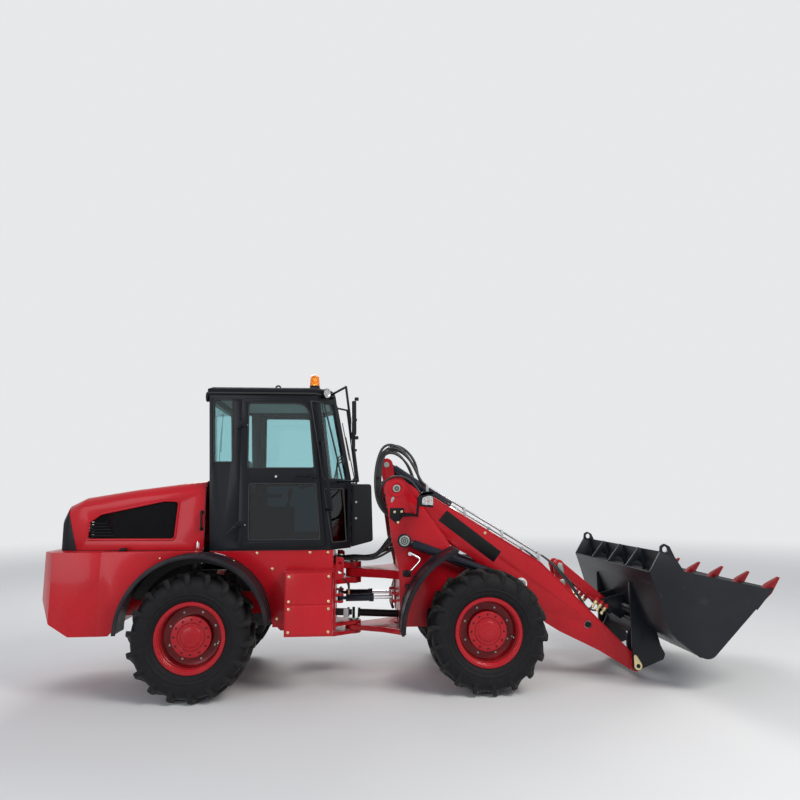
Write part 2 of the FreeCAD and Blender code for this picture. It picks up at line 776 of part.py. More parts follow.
def interior():
    floor = cab_bottom + cab_floor
    base = box(-1020, -700, -200, 200, floor + seat_gap, 1640)
    cushion = side_plate([(-1060, 1640), (-620, 1640), (-600, 1740, 40), (-1060, 1760, 40)], -240, 240)
    rest = side_plate([(-1055, 1700), (-965, 1700), (-1060, 2330, 40), (-1170, 2330, 40)], -230, 230)
    save("seat", [fuse([base, cushion, rest])])
    floor = floor + seat_gap
    column = rod(Vec(-150, 0, floor), Vec(-300, 0, 2010), 40).cut(box(-300, 0, -60, 60, floor - 40, floor))
    dash = side_plate([(-170, floor), (30, floor), (30, 1960, 20), (-130, 1990, 20), (-200, 1800)], -150, 150)
    wheel = Part.makeTorus(190, 15, Vec(-306, 0, 2035), Vec(-0.24, 0, 1))
    spokes = []
    for turn in (0, 120, 240):
        spoke = box(0, 190, -9, 9, -6, 6)
        spoke.rotate(Vec(0, 0, 0), Vec(0, 0, 1), turn)
        spoke.rotate(Vec(0, 0, 0), Vec(0, 1, 0), -13.5)
        spoke.translate(Vec(-306, 0, 2035))
        spokes.append(spoke)
    save("steering_column", [fuse([column, dash, wheel] + spokes + [rod(Vec(-295, 0, 2000), Vec(-307, 0, 2040), 35)])])


def cab_outfit():
    beacon_at = (-326, -400)
    base = pin_upright(beacon_at[0], beacon_at[1], roof_top, roof_top + 60, 58)
    lens = Part.makeCone(56, 50, 120, Vec(beacon_at[0], beacon_at[1], roof_top + 60))
    save("beacon", [fuse([base, lens])])
    mirrors = []
    cab = cab_body(0, cab_bottom, cab_top).fuse(roof_cap())
    for side in (-1, 1):
        y_low, y_high = sorted((side * 815, side * 985))
        housing = side_plate([(84, 2500, 14), (124, 2500, 14), (120, 2830, 14), (76, 2830, 14)], y_low, y_high)
        spots = [Vec(-155, side * 480, 2962), Vec(16, side * 900, 2983), Vec(143, side * 900, 2042),
                 Vec(-70, side * 500, 2042)]
        arm = bent_bar(spots, 12)
        mirror = fuse([housing.cut(arm), arm]).cut(cab)
        mirror.translate(Vec(roof_corner_way[0], side * roof_corner_way[1], 0) * seat_gap)
        mirrors.append(mirror)
    save("mirrors", mirrors)
    rails = []
    for side in (-1, 1):
        wall = side * (cab_half_width - 20)
        y = side * (cab_half_width + 60)
        spots = [Vec(-250, wall, 2440), Vec(-226, y, 2440), Vec(-115, y, 1760), Vec(-190, wall, 1760)]
        rail = bent_bar(spots, 13).cut(cab)
        rail.translate(Vec(0, side * seat_gap, 0))
        rails.append(rail)
    save("grab_rails", rails)


def bent_bar(spots, radius):
    """Round bar through the spots, with ball-rounded bends."""
    pieces = [rod(start, end, radius) for start, end in zip(spots[:-1], spots[1:])]
    pieces += [Part.makeSphere(radius, spot) for spot in spots[1:-1]]
    return fuse(pieces)


# Hood

hood_sections = (
    # x, half width, top, corner radius
    (-2812, 475, 1700, 90),
    (-2765, 500, 1803, 100),
    (-2604, 528, 1882, 110),
    (-2107, 560, 1963, 120),
    (-1395, 600, 2054, 120),
)
hood_window = [(-2558, 1470, 20), (-1684, 1468, 40), (-1653, 1850, 40), (-1801, 1855, 40), (-2430, 1724, 60),
               (-2541, 1646, 40)]
grille_posts = (-2560, -2380, -2200, -2020, -1840, -1650)
grille_rows = 10
grille_pitch = 36
grille_slot = 22
hood_hinge = (-2812, 1378)
hood_hinge_y = 380
hood_pin_radius = 10


def hood_body(inset, low, extra):
    rings = []
    for index, (x, half, top, radius) in enumerate(hood_sections):
        place_x = x
        if index == 0:
            place_x = x + inset
        if index == len(hood_sections) - 1:
            place_x = x + extra
        half = half - inset
        top = top - inset
        radius = radius - inset
        corners = [(-half, low), (half, low), (half, top, radius), (-half, top, radius)]
        rings.append(outline(corners, lambda a, b: Vec(place_x, a, b)))
    return Part.makeLoft(rings, True, True)


def hood():
    shell = hood_body(0, hood_bottom, 0).cut(hood_body(hood_wall, hood_bottom - 50, 60))
    tools = []
    for side in (-1, 1):
        y_low, y_high = sorted((side * 400, side * 700))
        tools.append(side_plate(hood_window, y_low, y_high))
    tools.append(cross_plate([(-340, 1440, 30), (340, 1440, 30), (320, 1650, 30), (-320, 1650, 30)], -2860, -2740))
    shell = cut(shell, tools)
    hinges = []
    for side in (-1, 1):
        y_low, y_high = sorted((side * (hood_hinge_y - 31), side * (hood_hinge_y + 31)))
        shell = shell.cut(box(hood_hinge[0] - 30, hood_hinge[0] + 32, y_low, y_high, hood_bottom - 10, 1402))
        hinges.append(pin_across(hood_hinge, y_low - 10, y_high + 10, hood_pin_radius))
    save("hood", [fuse([shell] + hinges)])
    skin = hood_body(9, hood_bottom + 10, 0).cut(hood_body(15, hood_bottom - 50, 60))
    side_slots = []
    for row in range(grille_rows):
        z = 1492 + row * grille_pitch
        for low, high in zip(grille_posts[:-1], grille_posts[1:]):
            side_slots.append(side_plate([(low + 10, z), (high - 10, z), (high - 10, z + grille_slot),
                                          (low + 10, z + grille_slot)], -700, 700))
    window = Part.Face(outline(hood_window, lambda a, b: Vec(a, -700, b))).makeOffset2D(-16)
    side_slots = Part.makeCompound(side_slots).common(window.extrude(Vec(0, 1400, 0)))
    rear_slots = []
    for row in range(5):
        z = 1462 + row * grille_pitch
        for low, high in ((-310, -6), (6, 310)):
            rear_slots.append(cross_plate([(low, z), (high, z), (high, z + grille_slot), (low, z + grille_slot)],
                                          -2860, -2740))
    panels = [skin.common(tool).cut(side_slots) for tool in tools[:2]]
    panels.append(skin.common(tools[2]).cut(Part.makeCompound(rear_slots)))
    save("hood_grilles", panels)


# Front half

axle_seat = 700


def front_frame():
    inner = tower_outer - tower_plate
    plate = side_plate([(433, 2009), (464, 1748), (506, 1439), (579, 1134), (595, 560, 60), (900, 560, 40),
                        (1130, 700), (1700, 700, 40), (1740, 830, 60), (1480, 1010, 60), (1283, 1166),
                        (1178, 1269), (1096, 1424), (825, 1800), (690, 1950), (557, 2097)], inner, tower_outer)
    plate = plate.fuse(pin_across(boom_pin, inner, tower_outer, 126))
    ring = pin_across(boom_pin, tower_outer - 1, tower_outer + 9, 86).cut(pin_across(boom_pin, 400, 500, 58))
    plate = plate.fuse(ring)
    lug = side_plate([(450, 1972), (560, 1700), (630, 1700), (664, 1972)], 316, 346)
    lug = lug.fuse(pin_across(boom_pin, 316, 346, 107))
    ear = side_plate([(402, 2225), (450, 2020), (480, 1760), (600, 1700), (640, 1760), (560, 2120), (538, 2250)],
                     ear_gap, ear_gap + ear_plate)
    ear = ear.fuse(pin_across(tilt_foot, ear_gap, ear_gap + ear_plate, 70))
    pieces = pair(plate) + pair(lug) + pair(ear)
    pieces.append(side_plate([(556, 1790), (600, 1790), (648, 1110), (600, 1110)], -inner - 2, inner + 2))
    pieces.append(box(600, 632, -inner - 2, inner + 2, 560, 1115))
    for z_low, z_high in tongue_levels:
        tongue = plan_plate([(620, -inner), (620, inner), (430, 250), (pivot_x, 90), (pivot_x, -90), (430, -250)],
                            z_low, z_high)
        tongue = tongue.fuse(pin_upright(pivot_x, 0, z_low, z_high, 90))
        pieces.append(tongue)
    pieces.append(box(600, 632, -inner, inner, 470, 580))
    floor = box(1130, 1700, -inner - 2, inner + 2, axle_seat, axle_seat + 25)
    pieces.append(floor.cut(box(front_axle_x - 170, front_axle_x + 170, -210, 210, axle_seat - 1, axle_seat + 26)))
    pieces.append(box(1660, 1690, -inner - 2, inner + 2, axle_seat, 840))
    for side in (-1, 1):
        boss = pin_across(lift_foot, *sorted((side * (tower_outer - 2), side * (lift_offset - 33))), 66)
        pieces.append(boss)
        y = side * steer_head[1]
        for z_low, z_high in ((steer_z + 26, steer_z + 46), (steer_z - 46, steer_z - 26)):
            pieces.append(box(steer_head[0] - 32, 606, y - 34, y + 34, z_low, z_high))
        for z_low, z_high in ((steer_z + 44, steer_z + 58), (steer_z - 58, steer_z - 44)):
            pieces.append(pin_upright(steer_head[0], y, z_low, z_high, steer_pin_radius + 8))
    whole = fuse(pieces)
    tools = [pin_across(boom_pin, -500, 500, boom_pin_radius + pin_play),
             pin_across(tilt_foot, -200, 200, 30 + pin_play),
             pin_upright(pivot_x, 0, 300, 1300, pivot_pin_radius + pin_play),
             rod(Vec(560, 0, 585), Vec(700, 0, 585), 90)]
    for side in (-1, 1):
        y_low, y_high = sorted((side * (tower_outer + 2), side * 600))
        tools.append(pin_across(lift_foot, y_low, y_high, lift_pin_radius + pin_play))
    save("front_frame", [cut(whole, tools)])


def frame_pins():
    pins = []
    for side in (-1, 1):
        pins.append(pin_across(boom_pin, *sorted((side * 300, side * (tower_outer + 6))), boom_pin_radius))
        pins.append(pin_across(lift_foot, *sorted((side * (tower_outer + 2), side * 548)), lift_pin_radius))
    save("frame_pins", pins)
    reach = ear_gap + ear_plate + 8
    save("tilt_pin", [pin_across(tilt_foot, -reach, reach, pin_radius)])


def front_axle():
    pads = []
    for side in (-1, 1):
        y_low, y_high = sorted((side * (tower_outer - 70), side * (tower_outer + 20)))
        pads.append(box(front_axle_x - 90, front_axle_x + 90, y_low, y_high, axle_z, axle_seat - seat_gap))
    housing = fuse(axle(front_axle_x, -1) + pads)
    shaft = drive_shaft(Vec(front_axle_x - axle_nose - seat_gap, 0, axle_z), Vec(pivot_x + 45, 0, 636))
    save("front_axle", [housing, shaft])


def front_fenders():
    band = arch_band(front_axle_x, axle_z, 845, 560, fender_outer, 111, 69, (600, 650, 940))
    arm = box(640, 700, tower_outer, 580, 1000, 1030)
    web = side_plate([(580, 700), (640, 700), (760, 1000), (900, 1130), (980, 1290), (880, 1230), (720, 1080),
                      (600, 860)], 560, 566)
    post = box(640, 700, tower_outer, 562, 960, 990)
    save("front_fenders", pair(fuse([band, post, web])))


def head_lamps():
    lamps = []
    plate = side_plate([(485, 1769), (633, 1768), (633, 1685), (559, 1603), (485, 1665)], tower_outer,
                       tower_outer + 8)
    arm = box(600, 770, tower_outer + 7, tower_outer + 40, 1680, 1705)
    reach = box(740, 770, tower_outer + 7, 700, 1680, 1705)
    stem = box(740, 770, 640, 700, 1680, 1790)
    y_low, y_high = 602, 738
    head = side_plate([(757, 1790, 18), (905, 1775, 10), (915, 1786, 6), (915, 1910, 12), (886, 1928, 20),
                       (800, 1926, 46), (757, 1880, 30)], y_low, y_high)
    pocket = cross_plate([(y_low + 12, 1794, 24), (y_high - 12, 1794, 24), (y_high - 12, 1908, 24),
                          (y_low + 12, 1908, 24)], 897, 920)
    hood_band = side_plate([(778, 1896), (800, 1916, 40), (888, 1918, 20), (916, 1902), (930, 1922), (892, 1942, 24),
                            (796, 1940, 44), (762, 1902)], y_low - 4, y_high + 4)
    lens = Part.makeSphere(150, Vec(780, 670, 1851)).common(rod(Vec(890, 670, 1851), Vec(940, 670, 1851), 50))
    save("head_lamps", pair(fuse([plate, arm, reach, stem, head.cut(pocket), hood_band, lens])))


# Boom and its linkage

boom_corners = [
    # top edge from the pin to the tip, then the lower edge back
    (560, 2095), (640, 2060), (830, 1924), (948, 1890), (2098, 1194), (2329, 974), (3010, 295), (3150, 160, 40),
    (3120, 62, 30), (3034, 75), (2697, 277), (2276, 480), (2137, 564), (1960, 735, 150), (1800, 850, 120),
    (1640, 1040, 150), (1466, 1197), (1261, 1306), (1008, 1530), (740, 1800), (560, 1850),
]


def boom():
    inner = boom_outer - boom_plate
    arm = side_plate(boom_corners, inner, boom_outer)
    arm = arm.fuse(pin_across(boom_pin, inner, boom_outer, 124))
    tip = pin_across(hitch_pin, inner, hitch_inner - side_play, 70)
    head = pin_across(lift_head, boom_outer - 2, lift_offset - lift_eye_width / 2 - 5, 66)
    hub = pin_across(rocker_pin, rocker_sleeve + 5, boom_outer, 64)
    arm = fuse([arm, tip, head, hub])
    whole = fuse(pair(arm) + [pin_across((1830, 985), -inner - 2, inner + 2, 84)])
    tools = [pin_across(boom_pin, -600, 600, boom_pin_radius + pin_play),
             pin_across(rocker_pin, -600, 600, rocker_shaft_radius + pin_play)]
    for side in (-1, 1):
        tools.append(pin_across(hitch_pin, *sorted((side * 300, side * 600)), pin_radius + pin_play))
    save("boom", [cut(whole, tools)])


def boom_pipes():
    """Two hard pipes along each boom plate, on clamps bolted to the plate's inner face."""
    start = (870, 2014)
    end = (2128, 1258)
    wall = boom_outer - boom_plate - seat_gap
    pieces = []
    for y in (wall - 22, wall - 62):
        pieces.append(rod(Vec(start[0], y, start[1]), Vec(end[0], y, end[1]), 9))
    for share in (0.02, 0.34, 0.66, 0.97):
        x, z = between(start, end, share)
        pieces.append(box(x - 14, x + 14, wall - 76, wall, z - 14, z + 14))
        pieces.append(box(x - 14, x + 14, wall - 10, wall, z - 140, z + 14))
    save("boom_pipes", pair(fuse(pieces)))


def rocker():
    """Bell crank of two plates on a sleeve, and the link's two bars from its top to the hitch."""
    reach = boom_outer - 12
    save("rocker_shaft", [pin_across(rocker_pin, -reach, reach, rocker_shaft_radius)])
    outer = rocker_gap + rocker_plate
    plate = side_plate([(2520, 560), (2390, 860), (2340, 1124), (2400, 1150), (2458, 1124), (2520, 900),
                        (2660, 560)], rocker_gap, outer)
    for point, radius in ((rocker_pin, 72), (rocker_top, 60), (tilt_head, 62)):
        plate = plate.fuse(pin_across(point, rocker_gap, outer, radius))
    sleeve = pin_across(rocker_pin, -rocker_sleeve, rocker_sleeve, 60)
    whole = fuse(pair(plate) + [sleeve])
    tools = [pin_across(rocker_pin, -200, 200, rocker_shaft_radius + pin_play),
             pin_across(rocker_top, -200, 200, link_pin_radius + pin_play)]
    save("rocker", [cut(whole, tools)])
    reach = link_inner + link_plate + 10
    save("link_pin", [pin_across(rocker_top, -reach, reach, link_pin_radius)])
    bar = side_plate(bar_outline(rocker_top, hitch_top, 50), link_inner, link_inner + link_plate)
    for point in (rocker_top, hitch_top):
        bar = bar.fuse(pin_across(point, link_inner, link_inner + link_plate, 52))
    tools = [pin_across(point, -300, 300, link_pin_radius + pin_play) for point in (rocker_top, hitch_top)]
    bar = cut(bar, tools)
    tie = pin_across(between(rocker_top, hitch_top, 0.5), -link_inner - 1, link_inner + 1, 20)
    save("link", [fuse(pair(bar) + [tie])])


def bar_outline(a, b, half):
    way = unit(a, b)
    across = (-way[1] * half, way[0] * half)
    return [(a[0] + across[0], a[1] + across[1]), (a[0] - across[0], a[1] - across[1]),
            (b[0] - across[0], b[1] - across[1]), (b[0] + across[0], b[1] + across[1])]


def cylinder_barrel(foot, head, y, length, radius, eye_radius, eye_width, pin, view):
    """Barrel with its foot eye. In a side view y is the offset, and in plan view it is the height."""
    way = unit(foot, head)

    def at(distance):
        a = foot[0] + way[0] * distance
        b = foot[1] + way[1] * distance
        return Vec(a, y, b) if view == "side" else Vec(a, b, y)

    axis = Vec(0, 1, 0) if view == "side" else Vec(0, 0, 1)
    eye = Part.makeCylinder(eye_radius, eye_width, at(0) - axis * (eye_width / 2), axis)
    neck = rod(at(0), at(eye_radius + 40), min(radius * 0.8, eye_width / 2 - 2))
    body = rod(at(eye_radius + 30), at(length), radius)
    gland = rod(at(length - 30), at(length + 16), radius + 6)
    whole = fuse([eye, neck, body, gland])
    hole = Part.makeCylinder(pin + pin_play, eye_width * 2, at(0) - axis * eye_width, axis)
    return whole.cut(hole), at, axis


def lift_cylinders():
    barrels = []
    rods = []
    span = math.hypot(lift_head[0] - lift_foot[0], lift_head[1] - lift_foot[1])
    length = span - lift_rod_shown
    for side in (-1, 1):
        y = side * lift_offset
        barrel, at, axis = cylinder_barrel(lift_foot, lift_head, y, length, lift_barrel_radius, 70,
                                           lift_eye_width, lift_pin_radius, "side")
        bore = rod(at(140), at(length + 30), lift_rod_radius + pin_play)
        barrels.append(barrel.cut(bore))
        start = 150
        shaft = rod(at(start), at(span), lift_rod_radius)
        eye = Part.makeCylinder(62, lift_eye_width, at(span) - axis * (lift_eye_width / 2), axis)
        rods.append(fuse([shaft, eye]))
    save("lift_barrels", barrels)
    save("lift_rods", rods)


def tilt_cylinder():
    span = math.hypot(tilt_head[0] - tilt_foot[0], tilt_head[1] - tilt_foot[1])
    length = span - tilt_rod_shown
    barrel, at, axis = cylinder_barrel(tilt_foot, tilt_head, 0, length, tilt_barrel_radius, 62,
                                       tilt_eye_width, 30, "side")
    bore = rod(at(140), at(length + 30), tilt_rod_radius + pin_play)
    save("tilt_barrel", [barrel.cut(bore)])
    shaft = rod(at(150), at(span), tilt_rod_radius)
    eye = Part.makeCylinder(56, tilt_eye_width, at(span) - axis * (tilt_eye_width / 2), axis)
    save("tilt_rod", [fuse([shaft, eye])])


def steer_cylinders():
    for name, side in (("left", 1), ("right", -1)):
        foot = (steer_foot[0], side * steer_foot[1])
        head = (steer_head[0], side * steer_head[1])
        span = math.hypot(head[0] - foot[0], head[1] - foot[1])
        length = span - steer_rod_shown
        barrel, at, axis = cylinder_barrel(foot, head, steer_z, length, steer_barrel_radius, 30,
                                           40, steer_pin_radius, "plan")
        bore = rod(at(75), at(length + 30), steer_rod_radius + pin_play)
        save("steer_barrel_" + name, [barrel.cut(bore)])
        shaft = rod(at(200), at(span), steer_rod_radius)
        eye = Part.makeCylinder(28, 40, at(span) - axis * 20, axis)
        save("steer_rod_" + name, [fuse([shaft, eye])])


# Hitch and bucket

hitch_side = [(3036, 69, 30), (3363, 188, 20), (3385, 241, 20), (3340, 335), (3300, 500), (3200, 620), (3080, 978),
              (3036, 978)]
hitch_cheek = [(3036, 69, 30), (3200, 128, 20), (3200, 420), (3160, 560), (3120, 560), (3036, 400)]
hitch_cheek_inner = 310
link_pin_radius = 26
link_inner = rocker_gap + rocker_plate + side_play
hitch_ear_inner = link_inner + link_plate + side_play
hitch_ear_plate = 28

# Outer line of the bucket's sheet from the lip round the heel to the spill edge, as (x, z, rounding)
bucket_path = [(4245, 967, 0), (3541, 288, 120), (3169, 567, 150), (3032, 1040, 0), (3215, 1125, 0), (3190, 1330, 0)]
bucket_cheek = bucket_path[:4] + [(2996, 1154, 20), (3110, 1340, 0), (3262, 1290, 0), (3347, 1150, 40)]
lip_depth = 260
lip_half_thickness = 14


def sheet_outline(path, wall):
    """Outline of a bent sheet whose outer line is path. The wall lies to the right of it."""
    inner = []
    for index, (x, z, bend) in enumerate(path):
        ways = []
        if index > 0:
            ways.append(unit(path[index - 1], path[index]))
        if index < len(path) - 1:
            ways.append(unit(path[index], path[index + 1]))
        normals = [(b, -a) for a, b in ways]
        if len(normals) == 1:
            shift = normals[0]
        else:
            (ax, az), (bx, bz) = normals
            scale = 1 / (1 + ax * bx + az * bz)
            shift = ((ax + bx) * scale, (az + bz) * scale)
        inner.append((x + shift[0] * wall, z + shift[1] * wall, max(bend - wall, 0)))
    return path + inner[::-1]


def hitch():
    """Quick hitch: outer hook plates, inner cheeks for the boom's pins, ears for the link, and cross bars."""
    pieces = []
    for side in (-1, 1):
        for view, low in ((hitch_side, hitch_inner), (hitch_cheek, hitch_cheek_inner)):
            y_low, y_high = sorted((side * low, side * (low + hitch_plate)))
            pieces.append(side_plate(view, y_low, y_high))
        y_low, y_high = sorted((side * hitch_ear_inner, side * (hitch_ear_inner + hitch_ear_plate)))
        ear = side_plate([(hitch_top[0], hitch_top[1] + 52), (3106, 820), (3106, 590), (3050, 548),
                          (hitch_top[0], hitch_top[1] - 52)], y_low, y_high)
        pieces.append(ear.fuse(pin_across(hitch_top, y_low, y_high, 55)))
    pieces.append(pin_across((3072, 690), -hitch_inner - 1, hitch_inner + 1, 40))
    pieces.append(box(3100, 3124, -hitch_inner - 1, hitch_inner + 1, 420, 560))
    whole = fuse(pieces)
    bucket_space = side_plate(bucket_cheek, -bucket_width / 2, bucket_width / 2)
    bucket_space.translate(Vec(-seat_gap, 0, -seat_gap))
    top_pin_reach = hitch_ear_inner + hitch_ear_plate + 8
    tools = [bucket_space, pin_across(hitch_top, -top_pin_reach, top_pin_reach, link_pin_radius + pin_play)]
    reach = hitch_inner + hitch_plate + 10
    tools.append(pin_across(hitch_pin, -reach, reach, pin_radius + pin_play))
    tube = pin_across(hitch_pin, -hitch_cheek_inner + side_play, hitch_cheek_inner - side_play, hitch_tube_radius)
    save("hitch", [cut(whole, tools), pin_across(hitch_top, -top_pin_reach, top_pin_reach, link_pin_radius)])
    save("hitch_pins", [tube.fuse(pin_across(hitch_pin, -reach, reach, pin_radius))])


def bucket_shell():
    half = bucket_width / 2
    wall = half - bucket_side
    pieces = []
    for side in (-1, 1):
        y_low, y_high = sorted((side * wall, side * half))
        pieces.append(side_plate(bucket_cheek, y_low, y_high))
    pieces.append(side_plate(sheet_outline(bucket_path, bucket_sheet), -wall, wall))
    for y in (-480, 0, 480):
        rib = side_plate([(3033, 1040), (2996, 1154, 20), (3150, 1345), (3192, 1330), (3220, 1122)], y - 8, y + 8)
        pieces.append(rib.cut(pin_across((3120, 1140), y - 9, y + 9, 66)))
    pieces.append(side_plate([(3032, 1028), (3050, 1034), (3014, 1154), (2996, 1148)], -wall, wall))
    tip = bucket_path[0]
    way = unit(bucket_path[1], tip)
    root = (tip[0] - way[0] * lip_depth, tip[1] - way[1] * lip_depth)
    across = (-way[1] * lip_half_thickness, way[0] * lip_half_thickness)
    pieces.append(side_plate([(root[0] - across[0], root[1] - across[1]),
                              (tip[0] + way[0] * 20, tip[1] + way[1] * 20),
                              (root[0] + across[0], root[1] + across[1])], -half, half))
    return fuse(pieces)


def bucket():
    save("bucket", [bucket_shell()])
    half = bucket_width / 2
    ears = []
    for side in (-1, 1):
        y_low, y_high = sorted((side * half, side * (half - bucket_side)))
        ear = side_plate([(3110, 1340), (3118, 1400, 20), (3162, 1423, 20), (3215, 1395, 20), (3262, 1290)],
                         y_low, y_high)
        ears.append(ear.cut(pin_across((3166, 1366), y_low - 1, y_high + 1, ear_hole_radius)))
    save("bucket_ears", ears)


def bucket_teeth():
    """Teeth that straddle the lip, each tapering to its point."""
    shell = bucket_shell()
    tooth_pitch = (bucket_width - 2 * tooth_margin) / (tooth_count - 1)
    teeth = []
    for index in range(tooth_count):
        y = (index - (tooth_count - 1) / 2) * tooth_pitch
        side_view = [(4100, 878), (4128, 822), (4255, 928), (4365, 1074), (4350, 1082), (4220, 1010), (4075, 882)]
        tooth = side_plate(side_view, y - 34, y + 34)
        taper = plan_plate([(4050, y - 34), (4250, y - 34), (4366, y - 14), (4366, y + 14), (4250, y + 34),
                            (4050, y + 34)], 800, 1200)
        teeth.append(tooth.common(taper).cut(shell))
    save("bucket_teeth", teeth)


wheels()
rear_frame()
pivot_pins()
rear_axle()
counterweight()
tow_hitch()
lamps()
side_panels()
rear_fenders()
toolbox()
steps()
engine()
cab_frame()
cab_glass()
cab_roof()
door("left", 1)
door("right", -1)
cab_base()
front_box()
interior()
cab_outfit()
hood()
front_frame()
frame_pins()
front_axle()
front_fenders()
head_lamps()
boom()
boom_pipes()
rocker()
lift_cylinders()
tilt_cylinder()
steer_cylinders()
hitch()
bucket()
bucket_teeth()
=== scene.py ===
import json
import math
import random
import bmesh
import bpy
from mathutils import Matrix, Vector


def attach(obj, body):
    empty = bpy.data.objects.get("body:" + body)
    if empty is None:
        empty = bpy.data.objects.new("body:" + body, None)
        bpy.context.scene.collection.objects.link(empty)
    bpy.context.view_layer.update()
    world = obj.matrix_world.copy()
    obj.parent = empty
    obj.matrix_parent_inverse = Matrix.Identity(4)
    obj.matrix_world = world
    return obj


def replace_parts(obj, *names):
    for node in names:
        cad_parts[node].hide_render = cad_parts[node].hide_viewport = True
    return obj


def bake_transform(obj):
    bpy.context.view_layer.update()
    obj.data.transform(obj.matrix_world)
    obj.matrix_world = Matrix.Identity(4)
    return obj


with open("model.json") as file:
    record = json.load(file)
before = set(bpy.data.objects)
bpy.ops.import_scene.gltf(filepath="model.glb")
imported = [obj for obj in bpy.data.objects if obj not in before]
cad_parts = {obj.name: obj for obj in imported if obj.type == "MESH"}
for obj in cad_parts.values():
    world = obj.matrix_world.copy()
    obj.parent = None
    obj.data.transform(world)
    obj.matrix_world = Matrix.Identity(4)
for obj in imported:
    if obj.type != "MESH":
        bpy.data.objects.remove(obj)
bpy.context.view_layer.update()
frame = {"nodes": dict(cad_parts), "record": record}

# Looks of a compact wheel loader. Places are in millimetres, with X from the middle of the wheelbase,
# Y to the left and Z up from the floor, as in the part's source. spot() turns them into the frame's metres.

random.seed(11)

ORIGIN_X = 728
AXLE_Z = 587.5
REAR_AXLE_X = -1415
FRONT_AXLE_X = 1415
HALF_TRACK = 770
DOOR_FACE = 695
CAB_HALF = 660
CAB_FLOOR_Z = 1359
CAB_KNEE_Z = 2021
CAB_TOP_Z = 2930
CAB_NOSE_X = 78
CAB_NOSE_LEAN = 178
BODY_HALF = 750
TOWER_FACE = 448
BOOM_FACE = 408
BOOM_PIN = (557, 1972)
LIFT_FOOT = (631, 1434)
LIFT_HEAD = (1850, 985)
TILT_HEAD = (2431, 934)
ROCKER_PIN = (2591, 541)
ROCKER_TOP = (2399, 1124)
HITCH_PIN = (3080, 132)
PIVOT_X = 115
ARCH = (-1402, 640)
ARCH_RADIUS = 712
SIDES = ((-1, "right"), (1, "left"))


def spot(x, y, z):
    return Vector(((x - ORIGIN_X) / 1000, y / 1000, z / 1000))


# Materials

class Value:
    """A socket of a material. Sums, products and powers of values add Math nodes."""

    def __init__(self, finish, socket):
        self.finish = finish
        self.socket = socket

    def math(self, operation, *others):
        return self.finish.node("ShaderNodeMath", {"operation": operation}, [self, *others])

    def __add__(self, other):
        return self.math("ADD", other)

    def __sub__(self, other):
        return self.math("SUBTRACT", other)

    def __rsub__(self, other):
        return self.finish.node("ShaderNodeMath", {"operation": "SUBTRACT"}, [other, self])

    def __mul__(self, other):
        return self.math("MULTIPLY", other)

    def __truediv__(self, other):
        return self.math("DIVIDE", other)

    def __pow__(self, other):
        return self.math("POWER", other)

    __radd__ = __add__
    __rmul__ = __mul__

    def between(self, low, high):
        """0 at low and 1 at high, with a soft step between them."""
        return self.finish.node("ShaderNodeMapRange", {"interpolation_type": "SMOOTHSTEP"},
                                {"Value": self, "From Min": low, "From Max": high})

    def sine(self):
        return self.math("SINE")


class Finish:
    """One material, its Principled shader and the values that feed it."""

    def __init__(self, name, slot, **constants):
        self.material = bpy.data.materials.new(name)
        self.material.use_nodes = True
        self.material["slot"] = slot
        self.tree = self.material.node_tree
        self.shader = self.tree.nodes["Principled BSDF"]
        self.where = self.node("ShaderNodeTexCoord", output="Object")
        for key, value in constants.items():
            self.shader.inputs[key.replace("_", " ")].default_value = value

    def feed(self, socket, value):
        if isinstance(value, Value):
            self.tree.links.new(value.socket, socket)
        else:
            socket.default_value = value

    def node(self, kind, settings=None, inputs=(), output=0):
        made = self.tree.nodes.new(kind)
        for key, value in (settings or {}).items():
            setattr(made, key, value)
        pairs = inputs.items() if isinstance(inputs, dict) else enumerate(inputs)
        for key, value in pairs:
            self.feed(made.inputs[key], value)
        return Value(self, made.outputs[output])

    def stretched(self, x, y, z):
        return self.node("ShaderNodeMapping", {}, {"Vector": self.where, "Scale": (x, y, z)})

    def noise(self, scale, detail=3.0, vector=None):
        return self.node("ShaderNodeTexNoise", {}, {"Vector": vector or self.where, "Scale": scale,
                                                    "Detail": detail})

    def cells(self, scale, feature="F1"):
        return self.node("ShaderNodeTexVoronoi", {"feature": feature}, {"Vector": self.where, "Scale": scale})

    def along(self, axis):
        return self.node("ShaderNodeSeparateXYZ", {}, [self.where], output=axis)

    def attribute(self, name):
        return self.node("ShaderNodeAttribute", {"attribute_name": name}, output="Fac")

    def mix(self, factor, first, second):
        return self.node("ShaderNodeMix", {"data_type": "RGBA"}, {0: factor, 6: first, 7: second}, output=2)

    def colour(self, value):
        self.feed(self.shader.inputs["Base Color"], value)

    def roughness(self, value):
        self.feed(self.shader.inputs["Roughness"], value)

    def bump(self, height, distance, strength=1.0):
        bump = self.node("ShaderNodeBump", {}, {"Height": height, "Distance": distance, "Strength": strength})
        self.feed(self.shader.inputs["Normal"], bump)


DUST = (0.23, 0.19, 0.15, 1)


def shade(colour, factor):
    return (colour[0] * factor, colour[1] * factor, colour[2] * factor, 1)


